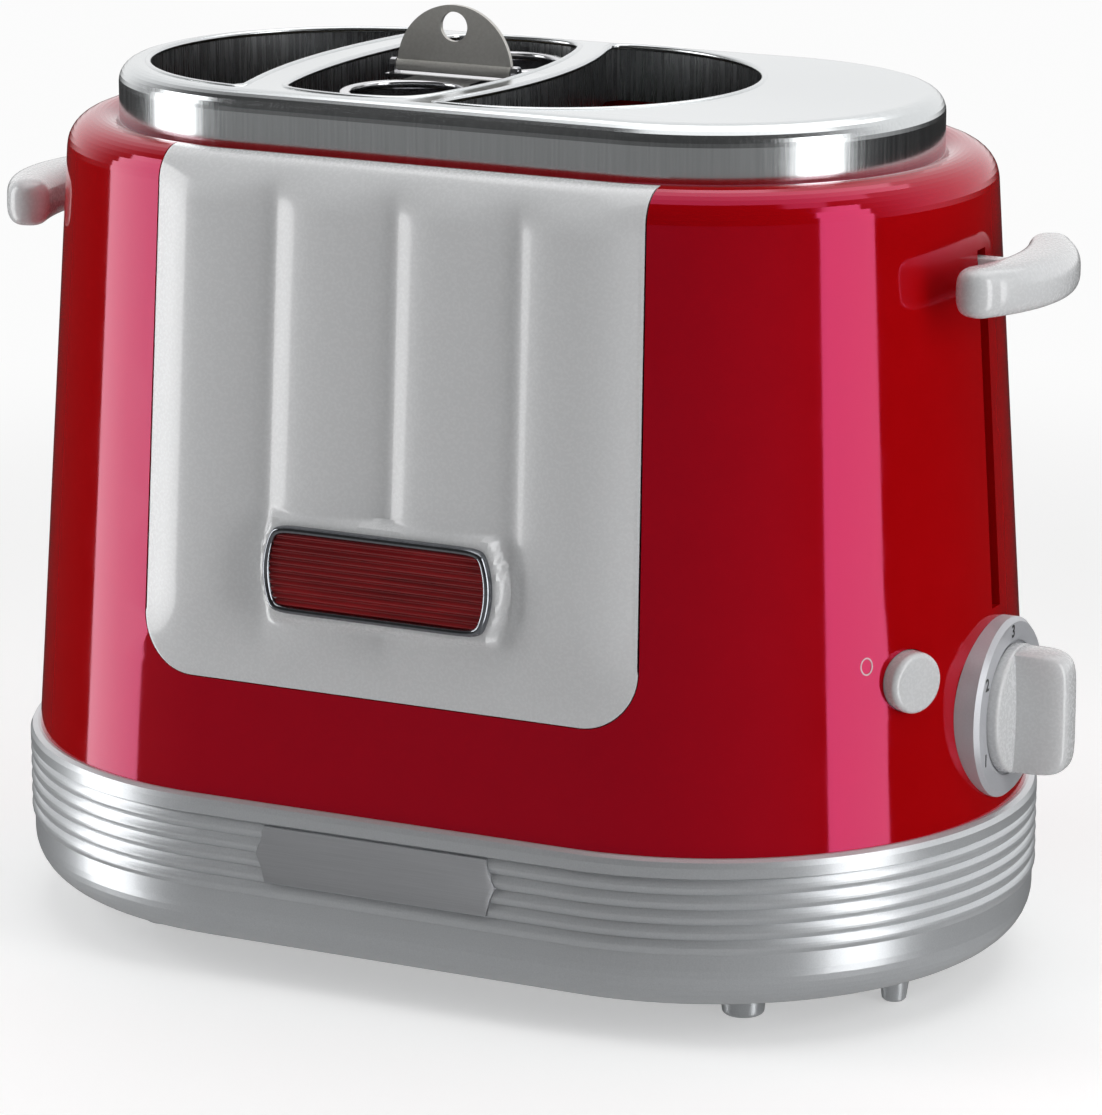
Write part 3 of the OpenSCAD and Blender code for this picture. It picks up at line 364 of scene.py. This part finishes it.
def shaped_grid(name, columns, rows, place, closed=False):
    """A grid of columns by rows whose corners go where place(across, along) says, from 0 to 1 each.
    A closed one is joined where its sides and ends meet, and its faces are turned outwards."""
    sheet = begin("grid", name, x_subdivisions=columns, y_subdivisions=rows, size=2)
    for corner in sheet.data.vertices:
        corner.co = place((corner.co.x + 1) / 2, (corner.co.y + 1) / 2)
    if closed:
        bpy.ops.object.mode_set(mode="EDIT")
        bpy.ops.mesh.select_all(action="SELECT")
        bpy.ops.mesh.remove_doubles(threshold=weld_within)
        bpy.ops.mesh.normals_make_consistent(inside=False)
        bpy.ops.object.mode_set(mode="OBJECT")
    return sheet


wire_r = 0.0006
coil_turns, steps_per_turn, wire_sides = 14, 20, 8
for side in ("left", "right"):
    low, high = (Vector(c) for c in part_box("return_spring_" + side))
    middle = (low + high) / 2
    coil_r = (high.x - low.x) / 2 - wire_r
    bottom, top = low.z + wire_r, high.z - wire_r

    def coil(across, along):
        turn = 2 * math.pi * coil_turns * along
        round_wire = 2 * math.pi * across
        thick = wire_r if 0 < round(along, 5) < 1 else 0
        out = coil_r + thick * math.cos(round_wire)
        return (middle.x + out * math.cos(turn), middle.y + out * math.sin(turn),
                bottom + (top - bottom) * along + thick * math.sin(round_wire))

    spring = shaped_grid("wound_spring_" + side, columns=wire_sides, rows=coil_turns * steps_per_turn,
                         place=coil, closed=True)
    settle(spring, spring_steel, "housing", angle=60)
    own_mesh(spring)
    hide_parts("return_spring_" + side)


# ---- Carriage: ring, bushes, racks and latch ----
# A ring of steel plate goes round the chassis and slides on two brass bushes.
# Welded wire racks hang from it under the buns and the basket; the magnet holds its latch plate.
dress(zinc, "carriage_ring", "latch_plate")
brass = finish_of("bush_brass", 1.0, (0.60, 0.42, 0.17), (0.72, 0.53, 0.24), (0.18, 0.32))
dress(brass, "carriage_bush_left", "carriage_bush_right")
dress(spring_steel, "bun_rack_left", "bun_rack_right", "basket_rest")


# ---- Push-down levers ----
# Two white grips, moulded as thick crescents that follow the casing's ends, each on a flat stem.
# Each grip is one piece with its stem, which passes through the shell's slot and meets the ring.
def white_plastic_of(name, grey):
    """Glossy moulded plastic, off-white by that grey."""
    material, tree, shader = paint_shop(name)
    shader.inputs["Coat Weight"].default_value = 0.5
    shader.inputs["Coat Roughness"].default_value = 0.06
    drift(tree, shader, grain(tree, shader, 1200, 0.0000003, (0.24, 0.30)),
          (grey - 0.01, grey, grey + 0.01), (grey, grey + 0.01, grey + 0.02))
    return material


milky_plastic = white_plastic_of("milky_plastic", 0.64)
end_x = 0.0545
inner_r, tip_w, grip_ends = 0.0827, 0.006, 0.4
grip_soft, tip_soft = 0.7, 0.45
stem_from, stem_sunk, stem_half_w, stem_half_h = 0.122, 0.003, 0.0022, 0.004
stem_edge, stem_steps = 0.0005, 3


def power(value, exponent):
    """A power that keeps the sign."""
    return math.copysign(abs(value) ** exponent, value)


for side, turn in (("right", 1), ("left", -1)):
    low, high = (Vector(c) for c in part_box("lever_" + side))
    reach = max(abs(low.x), abs(high.x)) - end_x
    grip_z = (low.z + high.z) / 2
    grip_half_h = (high.z - low.z) / 2
    spread_angle = math.asin((high.y - tip_w) / (inner_r + tip_w))
    bend = reach - inner_r - 2 * tip_w

    def grip(across, along):
        s = (2 * along - 1) * (1 + grip_ends)
        body = max(-1.0, min(1.0, s))
        past = math.pi / 2 * max(0.0, abs(s) - 1) / grip_ends
        cap = max(0.0, math.cos(past))
        outer = reach - bend * body * body
        r = (outer + inner_r) / 2
        angle = body * spread_angle + math.copysign(tip_w * math.sin(past) / r, s)
        a = 2 * math.pi * across
        r += (outer - inner_r) / 2 * cap * power(math.cos(a), grip_soft)
        rise = grip_half_h * cap ** tip_soft * power(math.sin(a), grip_soft)
        return (turn * (end_x + r * math.cos(angle)), r * math.sin(angle), grip_z + rise)

    lever = shaped_grid("grip_" + side, columns=48, rows=90, place=grip, closed=True)
    stem = begin("cube", "stem", size=1)
    for corner in stem.data.vertices:
        corner.co = (turn * (stem_from if corner.co.x < 0 else end_x + inner_r + stem_sunk),
                     math.copysign(stem_half_w, corner.co.y),
                     grip_z + math.copysign(stem_half_h, corner.co.z))
    use_modifier(stem, "BEVEL", width=stem_edge, segments=stem_steps)
    bpy.ops.object.mode_set(mode="EDIT")
    bpy.ops.mesh.select_all(action="SELECT")
    bpy.ops.mesh.normals_make_consistent(inside=False)
    bpy.ops.object.mode_set(mode="OBJECT")
    lever.select_set(True)
    bpy.context.view_layer.objects.active = lever
    bpy.ops.object.join()
    settle(lever, milky_plastic, "carriage", angle=50)
    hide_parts("lever_" + side)


# ---- Red shell ----
# The casing is moulded in red plastic and polished, with a round shoulder up to the steel cover.
# It clips over a tongue of the base, and is cut for the panel, the levers, the timer and the button.
red_plastic, tree, shader = paint_shop("red_plastic")
shader.inputs["Coat Weight"].default_value = 0.05
shader.inputs["Coat Roughness"].default_value = 0.03
shader.inputs["Specular IOR Level"].default_value = 1.0
shader.inputs["Specular Tint"].default_value = (1, 0.10, 0.36, 1)
orange_peel = grain(tree, shader, 90, 0.0000015, (0.05, 0.08))
drift(tree, shader, orange_peel, (0.385, 0.0008, 0.0015), (0.40, 0.001, 0.002))
dress(red_plastic, "outer_shell")


# ---- Ribbed front panel ----
# A white moulding set flush into the shell, with four round columns that fade out at both ends.
# A flat pad carries the badge, and the top turns over the shell's shoulder. It clips in from inside.
mm = 0.001
half_wid, round_x, seam_z, rim_z = 85.5, 54.5, 51.0, 220.0
lean, shoulder_r = 10.6 / 160, 9.0
lean_angle = math.atan(lean)
shoulder_z = rim_z - shoulder_r
shoulder_d = lean * (shoulder_z - seam_z) + shoulder_r / math.cos(lean_angle)
panel_half, panel_z, panel_corner, panel_taper = 71.7, 82.5, 15.0, 2.2
column_h, column_count, valley_soft = 3.4, 4, 0.16
column_foot, column_foot_fade, column_top, column_top_fade = 3, 24, 2, 11
pad_h, pad_margin, pad_fall = 4.0, (3.6, 3.4), (2.4, 2.2)
badge_half_l, badge_half_h, badge_z, badge_end_r = 33.0, 11.6, 115.0, 24.0
panel_wall, panel_edge = 0.0022, 0.00035


def ease(x):
    """Smooth step from 0 to 1."""
    t = max(0.0, min(1.0, x))
    return t * t * (3 - 2 * t)


def front_y(x, inset):
    """How far forward the casing's plan lies at x, in from its outline by inset, in millimetres."""
    return -math.sqrt((half_wid - inset) ** 2 - max(0.0, abs(x) - round_x) ** 2)


def panel_reach(z):
    """Half width of the panel at height z, with its round lower corners."""
    wide = panel_half - panel_taper * (max(z, panel_z) - panel_z) / (rim_z - panel_z)
    if z >= panel_z + panel_corner:
        return wide
    drop = panel_z + panel_corner - z
    return panel_half - panel_corner + math.sqrt(max(0.0, panel_corner ** 2 - drop ** 2))


def column_height(share, z):
    """How far the columns stand out at share of the panel's width, from 0 to 1."""
    f = (share * column_count) % 1.0
    bulge = 1 - (2 * f - 1) ** 2
    bulge = (math.hypot(bulge, valley_soft) - valley_soft) / (math.hypot(1, valley_soft) - valley_soft)
    faded = ease((z - panel_z - column_foot) / column_foot_fade)
    return column_h * bulge * faded * ease((rim_z - column_top - z) / column_top_fade)


def panel_skin(across, along):
    foot_rows, wall_rows = 0.14, 0.88
    if along < foot_rows:
        z = panel_z + panel_corner * (1 - math.cos(math.pi / 2 * along / foot_rows))
        inset = lean * (z - seam_z)
    elif along < wall_rows:
        risen = (along - foot_rows) / (wall_rows - foot_rows)
        z = panel_z + panel_corner + (shoulder_z - panel_z - panel_corner) * risen
        inset = lean * (z - seam_z)
    else:
        a = math.pi - lean_angle - (math.pi / 2 - lean_angle) * (along - wall_rows) / (1 - wall_rows)
        z = shoulder_z + shoulder_r * math.sin(a)
        inset = shoulder_d + shoulder_r * math.cos(a)
    x = panel_reach(z) * (2 * across - 1)
    v = min(abs(z - badge_z), badge_half_h)
    pad_half = badge_half_l - badge_end_r + math.sqrt(badge_end_r ** 2 - v * v) + pad_margin[0]
    pad = ease((pad_half - abs(x)) / pad_fall[0])
    pad *= ease((badge_half_h + pad_margin[1] - abs(z - badge_z)) / pad_fall[1])
    y = front_y(x, inset) - column_height(across, z)
    y += (front_y(0, inset) - pad_h - y) * pad
    return Vector((x, y, z)) * mm


panel = shaped_grid("ribbed_panel", columns=168, rows=150, place=panel_skin)
use_modifier(panel, "SOLIDIFY", thickness=panel_wall, offset=-1)
use_modifier(panel, "BEVEL", width=panel_edge, segments=2, limit_method="ANGLE",
             angle_limit=math.radians(60))
white_plastic = white_plastic_of("white_plastic", 0.76)
settle(panel, white_plastic, "housing", angle=40)
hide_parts("front_panel")


# ---- Badge: rolled bezel and ribbed lens ----
# A dark chromed frame with bulged ends holds a red lens, which has fine ribs from end to end.
# It leans with the panel and is pressed onto its pad.
bezel_w, bezel_rise, bezel_soft, corner_power = 2.1, 2.2, 0.7, 18
lens_inset, lens_rise, lens_wall = 1.9, 1.0, 0.0008
rib_pitch, rib_rise = 1.8, 0.3
pad_y = front_y(0, lean * (badge_z - seam_z)) - pad_h


def on_pad(u, v, out):
    """The point u along, v up and out from the badge's pad, in metres."""
    c, s = math.cos(lean_angle), math.sin(lean_angle)
    return Vector((u, pad_y + s * v - c * out, badge_z + c * v + s * out)) * mm


def badge_outline(share, inset):
    """A point of the badge's outline; share counts from 0 to 1: right end, top, left end, bottom."""
    h, end = badge_half_h - inset, badge_half_l - inset - badge_end_r
    opening = math.asin(h / badge_end_r)
    side, f = divmod((share % 1.0) * 4, 1)
    corner_x = end + badge_end_r * math.cos(opening)
    if side % 2:
        u, v = corner_x * (1 - 2 * f), h
    else:
        a = opening * (2 * f - 1)
        u, v = end + badge_end_r * math.cos(a), badge_end_r * math.sin(a)
    toward = math.atan2(v, abs(u))
    flat_reach = h / max(0.0001, abs(math.sin(toward)))
    bulge_reach = end * math.cos(toward) + math.sqrt(badge_end_r ** 2 - (end * math.sin(toward)) ** 2)
    reach = (flat_reach ** -corner_power + bulge_reach ** -corner_power) ** (-1 / corner_power)
    u, v = math.copysign(reach * math.cos(toward), u), reach * math.sin(toward)
    return (u, v) if side < 2 else (-u, -v)


def bezel_skin(across, along):
    a = 2 * math.pi * across
    u, v = badge_outline(along, bezel_w / 2 - bezel_w / 2 * math.cos(a))
    return on_pad(u, v, bezel_rise * max(0.0, math.sin(a)) ** bezel_soft)


def lens_skin(across, along):
    v = (2 * along - 1) * (badge_half_h - lens_inset)
    end = badge_half_l - lens_inset - badge_end_r
    u = (end + math.sqrt(badge_end_r ** 2 - v * v)) * (2 * across - 1)
    return on_pad(u, v, lens_rise + rib_rise * math.cos(2 * math.pi * v / rib_pitch))


bezel = shaped_grid("badge_bezel_rolled", columns=20, rows=128, place=bezel_skin, closed=True)
dark_chrome = finish_of("dark_chrome", 1.0, (0.20, 0.21, 0.23), (0.27, 0.28, 0.30), (0.10, 0.18))
settle(bezel, dark_chrome, "housing")
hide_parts("badge_bezel")
lens = shaped_grid("badge_lens_ribbed", columns=24, rows=120, place=lens_skin)
use_modifier(lens, "SOLIDIFY", thickness=lens_wall, offset=-1)
red_lens, tree, shader = paint_shop("red_lens")
shader.inputs["Coat Weight"].default_value = 1.0
shader.inputs["Coat Roughness"].default_value = 0.04
drift(tree, shader, grain(tree, shader, 300, 0.000004, (0.15, 0.25), stretch=(0.1, 1, 1)),
      (0.16, 0.001, 0.003), (0.30, 0.002, 0.005))
settle(lens, red_lens, "housing", angle=60)
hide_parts("badge_lens")


# ---- Round "on" mark ----
# A small open ring beside the stop button, printed on the shell in pale pink ink.
# It is a thin raised film that follows the round end.
mark_at, mark_z = math.radians(-36.4), 98.0
mark_half = (1.85, 2.35)
mark_line, mark_film, mark_sunk = 0.42, 0.07, 0.5


def mark_skin(across, along):
    a, turn = 2 * math.pi * across, 2 * math.pi * along
    ring = Vector((math.cos(turn) * (mark_half[0] - mark_line * (1 - math.cos(a)) / 2),
                   math.sin(turn) * (mark_half[1] - mark_line * (1 - math.cos(a)) / 2)))
    z = mark_z + ring.y
    r = half_wid - lean * (z - seam_z) + mark_film * max(-mark_sunk, math.sin(a))
    angle = mark_at + ring.x / r
    return Vector((round_x + r * math.cos(angle), r * math.sin(angle), z)) * mm


mark = shaped_grid("on_mark", columns=8, rows=56, place=mark_skin, closed=True)
pale_ink = finish_of("pale_ink", 0.0, (0.70, 0.52, 0.54), (0.78, 0.60, 0.62), (0.4, 0.5))
settle(mark, pale_ink, "housing")


# ---- Steel top cover and collars ----
# One sheet of steel, drawn with an upright wall and a rounded edge, and brushed.
# Each opening has a rolled lip, and a darker sheet collar hangs below it.
steel, tree, shader = paint_shop("brushed_cover")
shader.inputs["Metallic"].default_value = 1.0
shader.inputs["Anisotropic"].default_value = 0.55
deck_high = Vector(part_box("top_cover")[1])
place = add(tree, "ShaderNodeTexCoord")
parts = add(tree, "ShaderNodeSeparateXYZ")
tree.links.new(place.outputs["Object"], parts.inputs[0])
on_deck = add(tree, "ShaderNodeMapRange", From_Min=deck_high.z - 0.003, From_Max=deck_high.z - 0.0004)
tree.links.new(parts.outputs["Z"], on_deck.inputs["Value"])
tangent = add(tree, "ShaderNodeTangent", {"direction_type": "RADIAL", "axis": "Z"})
tree.links.new(tangent.outputs[0], shader.inputs["Tangent"])
streaks = []
for stretch in ((1.0, 1.0, 0.02), (0.02, 1.0, 1.0)):
    stretched = add(tree, "ShaderNodeMapping", Scale=stretch)
    noise = add(tree, "ShaderNodeTexNoise", Scale=1500.0, Detail=3.0)
    tree.links.new(place.outputs["Object"], stretched.inputs["Vector"])
    tree.links.new(stretched.outputs[0], noise.inputs["Vector"])
    streaks.append(noise.outputs["Fac"])
deck_share = sum_of(tree, "MULTIPLY", on_deck.outputs["Result"], streaks[1])
off_deck = sum_of(tree, "SUBTRACT", 1.0, on_deck.outputs["Result"])
wall_share = sum_of(tree, "MULTIPLY", off_deck, streaks[0])
streak = sum_of(tree, "ADD", deck_share, wall_share)
drift(tree, shader, streak, (0.58, 0.60, 0.61), (0.64, 0.66, 0.67))
spread = add(tree, "ShaderNodeMapRange", From_Min=noise_span[0], From_Max=noise_span[1],
             To_Min=0.15, To_Max=0.22)
tree.links.new(streak, spread.inputs["Value"])
tree.links.new(spread.outputs["Result"], shader.inputs["Roughness"])
bump = add(tree, "ShaderNodeBump", Strength=0.5, Distance=0.0000004)
tree.links.new(streak, bump.inputs["Height"])
tree.links.new(bump.outputs[0], shader.inputs["Normal"])
dress(steel, "top_cover")
collar_steel = finish_of("collar_steel", 1.0, (0.44, 0.45, 0.46), (0.52, 0.53, 0.54), (0.22, 0.32),
                         per_metre=1500, depth=0.0000003, stretch=(1, 1, 0.03))
dress(collar_steel, "left_bun_collar", "middle_collar", "right_bun_collar")

lip_r, lip_rise, lip_out, corner_blend = 0.9, 0.45, 0.1, 22
deck_z = deck_high.z / mm
bun_r, left_bun_x, right_bun_x, mid_x, mid_half_w, mid_half_l = 54.0, -53.0, 10.0, -26.0, 27.0, 53.5
land_r, land_left, land_right = (204.0, 153.0), 10.0, 7.5
left_middle, right_middle, far_off = left_bun_x - 30, right_bun_x + 28, 1e4
left_land = Vector((mid_x - mid_half_w, 0))
right_land = Vector((mid_x + mid_half_w, 0))


def to_circle(p, u, centre_x, r, outside=False):
    """Distance from p along u to a circle: its far side from within, or its near side from outside."""
    d = p - Vector((centre_x, 0))
    b = u.dot(d)
    q = b * b + r * r - d.dot(d)
    if outside:
        return far_off if q < 0 or b > 0 else -b - math.sqrt(q)
    return -b + math.sqrt(max(0.0, q))


def opening_edge(which, angle, grow):
    """The point at that angle on the edge of one opening of the deck, grown by that much."""
    u = Vector((math.cos(angle), math.sin(angle)))
    if which == "left":
        p = Vector((left_middle, 0))
        reaches = [to_circle(p, u, left_bun_x, bun_r + grow),
                   to_circle(p, u, left_land.x - land_left + land_r[0], land_r[0] - grow, outside=True)]
    elif which == "right":
        p = Vector((right_middle, 0))
        reaches = [to_circle(p, u, right_bun_x, bun_r + grow),
                   to_circle(p, u, right_land.x + land_right - land_r[1], land_r[1] - grow,
                             outside=True)]
    else:
        p = Vector((mid_x, 0))
        reaches = [to_circle(p, u, left_land.x + land_r[0], land_r[0] + grow),
                   to_circle(p, u, right_land.x - land_r[1], land_r[1] + grow),
                   to_circle(p, u, mid_x, mid_half_l + grow)]
    least = min(reaches)
    return p + u * least * sum((least / v) ** corner_blend for v in reaches) ** (-1 / corner_blend)


for which in ("left", "middle", "right"):
    def lip_skin(across, along):
        a = 2 * math.pi * across
        edge = opening_edge(which, 2 * math.pi * along, lip_out + lip_r * math.cos(a))
        return Vector((edge.x, edge.y, deck_z + lip_rise - lip_r * (1 - math.sin(a)))) * mm

    lip = shaped_grid("rolled_lip_" + which, columns=12, rows=160, place=lip_skin, closed=True)
    settle(lip, steel, "housing", angle=60)


# ---- Timer: dial ring, numbers, knob, shaft and clockwork ----
# The ring is painted silver with its numbers in black; the white knob has a broad upright grip.
# The knob is pressed onto the shaft of a clockwork timer in a grey plastic case.
dial_paint = finish_of("dial_paint", 0.3, (0.50, 0.51, 0.54), (0.54, 0.55, 0.58), (0.35, 0.45),
                       per_metre=2400)
dress(dial_paint, "dial_ring")
dress(ground_steel, "timer_shaft")
grey_plastic = finish_of("grey_plastic", 0.0, (0.24, 0.24, 0.24), (0.30, 0.30, 0.30), (0.45, 0.6),
                         depth=0.00001)
dress(grey_plastic, "timer_body")

knob_low, knob_high = (Vector(c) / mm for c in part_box("timer_knob"))
knob_r = (knob_high.z - knob_low.z) / 2
dial_z = (knob_high.z + knob_low.z) / 2
dial_high = Vector(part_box("dial_ring")[1]) / mm
disc_h, disc_dome, disc_edge = 3.2, 0.7, 1.1
grip_half_t, bar_soft, bar_end_soft, bar_taper, bar_sunk, bar_inset = 5.8, 0.42, 0.34, 0.06, 1, 0.25


def disc_skin(across, along):
    turn = 2 * math.pi * across
    back, wall, edge = 0.2, 0.4, 0.6
    if along < back:
        r, out = knob_r * along / back, 0.0
    elif along < wall:
        r, out = knob_r, (disc_h - disc_edge) * (along - back) / (wall - back)
    elif along < edge:
        a = math.pi / 2 * (along - wall) / (edge - wall)
        r, out = knob_r - disc_edge * (1 - math.cos(a)), disc_h - disc_edge * (1 - math.sin(a))
    else:
        share = 1 - (along - edge) / (1 - edge)
        r = (knob_r - disc_edge) * share
        out = disc_h + disc_dome * (1 - share * share)
    return Vector((knob_low.x + out, r * math.cos(turn), dial_z + r * math.sin(turn))) * mm


def grip_skin(across, along):
    a, b = math.pi * across, math.pi * along
    y = -grip_half_t * power(math.cos(a), bar_soft) * (1 - bar_taper * math.sin(a))
    z = -math.sqrt((knob_r - bar_inset) ** 2 - y * y) * power(math.cos(b), bar_end_soft)
    rise = power(max(0.0, math.sin(a)), bar_soft) * power(max(0.0, math.sin(b)), bar_end_soft)
    x = knob_low.x + bar_sunk + (knob_high.x - knob_low.x - bar_sunk) * rise
    return Vector((x, y, dial_z + z)) * mm


knob = shaped_grid("knob_disc", columns=72, rows=40, place=disc_skin, closed=True)
shaped_grid("knob_grip", columns=40, rows=72, place=grip_skin, closed=True)
knob.select_set(True)
bpy.context.view_layer.objects.active = knob
bpy.ops.object.join()
knob.name = "timer_knob_moulded"
settle(knob, milky_plastic, "timer_knob", angle=50)
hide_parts("timer_knob")

number_r, number_h, ink_depth, ink_swell = 20.3, 4.6, 0.06, 0.10
black_ink = finish_of("black_ink", 0.0, (0.01, 0.01, 0.012), (0.02, 0.02, 0.02), (0.4, 0.5))
for number, degrees in ((1, 210), (2, 150), (3, 90), (4, 30), (5, -30)):
    a = math.radians(degrees)
    bpy.ops.object.select_all(action="DESELECT")
    bpy.ops.object.text_add()
    figure = bpy.context.object
    figure.name = "dial_number_" + str(number)
    figure.data.body = str(number)
    figure.data.align_x, figure.data.align_y = "CENTER", "CENTER"
    figure.data.size = number_h * mm
    figure.data.extrude = ink_depth * mm
    figure.data.offset = ink_swell * mm
    figure.rotation_euler = (math.pi / 2, 0, math.pi / 2)
    figure.location = (dial_high.x * mm, number_r * math.cos(a) * mm,
                       (dial_z + number_r * math.sin(a)) * mm)
    bpy.ops.object.convert(target="MESH")
    settle(bpy.context.object, black_ink, "housing")


# ---- Stop button and its switch ----
# A white round button stands at the front corner, in a black guide behind the shell.
# It presses a small switch on a bracket from the chassis.
dress(milky_plastic, "stop_button")
dress(black_nylon, "button_guide", "stop_switch")


# ---- Hold magnet and control board ----
# The magnet's coil sits in black tape on a bracket from the chassis, under the latch plate.
# The board is green lacquer with pale traces; its relay is blue and its capacitors are black.
dress(black_nylon, "hold_magnet")
board, tree, shader = paint_shop("circuit_board")
board_low = Vector(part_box("control_board")[0])
place = add(tree, "ShaderNodeTexCoord")
parts = add(tree, "ShaderNodeSeparateXYZ")
tree.links.new(place.outputs["Object"], parts.inputs[0])
traces = add(tree, "ShaderNodeTexBrick", Scale=220.0, Mortar=(0.10, 0.22, 0.09, 1),
             Color1=(0.01, 0.10, 0.03, 1), Color2=(0.015, 0.13, 0.04, 1))
turned = add(tree, "ShaderNodeCombineXYZ")
tree.links.new(parts.outputs["Y"], turned.inputs["X"])
tree.links.new(parts.outputs["Z"], turned.inputs["Y"])
tree.links.new(turned.outputs[0], traces.inputs["Vector"])
relay_z, face_x = 0.040, board_low.x + 0.00165
relay = add(tree, "ShaderNodeMix", {"data_type": "RGBA"})
relay.inputs[6].default_value = (0.012, 0.012, 0.014, 1)
relay.inputs[7].default_value = (0.01, 0.05, 0.22, 1)
tree.links.new(sum_of(tree, "GREATER_THAN", parts.outputs["Z"], relay_z), relay.inputs[0])
stands_out = add(tree, "ShaderNodeMix", {"data_type": "RGBA"})
tree.links.new(sum_of(tree, "GREATER_THAN", parts.outputs["X"], face_x), stands_out.inputs[0])
tree.links.new(traces.outputs["Color"], stands_out.inputs[6])
tree.links.new(relay.outputs[2], stands_out.inputs[7])
tree.links.new(stands_out.outputs[2], shader.inputs["Base Color"])
grain(tree, shader, 500, 0.000005, (0.25, 0.4))
dress(board, "control_board")


# ---- Sausage basket ----
# Two drawn steel wells with rolled rims hang from a web between them; a folding handle lifts them.
# The steel is polished; the handle is satin and turns on a riveted pin.
basket_steel = finish_of("basket_steel", 1.0, (0.54, 0.54, 0.56), (0.60, 0.60, 0.62), (0.12, 0.18),
                         per_metre=1200, depth=0.0000003)
dress(basket_steel, "basket_wells", "basket_bridge", "hinge_pin")
handle_steel = finish_of("handle_steel", 0.7, (0.50, 0.49, 0.46), (0.56, 0.55, 0.52), (0.30, 0.40),
                         per_metre=1500, depth=0.0000005)
dress(handle_steel, "basket_handle")
wells_low, wells_high = (Vector(c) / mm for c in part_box("basket_wells"))
well_x = (wells_low.x + wells_high.x) / 2
rim_r = (wells_high.x - wells_low.x) / 2
rim_half_w, rim_half_h, rim_square, rim_drop, rim_in = 1.5, 1.2, 0.55, 0.95, 1.25
rim_mid_r = rim_r - rim_in
for name, well_y in (("front", wells_low.y + rim_r), ("rear", wells_high.y - rim_r)):
    def rim_skin(across, along):
        a, turn = 2 * math.pi * across, 2 * math.pi * along
        r = rim_mid_r + rim_half_w * power(math.cos(a), rim_square)
        z = wells_high.z - rim_drop + rim_half_h * power(math.sin(a), rim_square)
        return Vector((well_x + r * math.cos(turn), well_y + r * math.sin(turn), z)) * mm

    rim = shaped_grid("rolled_rim_" + name, columns=24, rows=96, place=rim_skin, closed=True)
    settle(rim, basket_steel, "basket", angle=60)
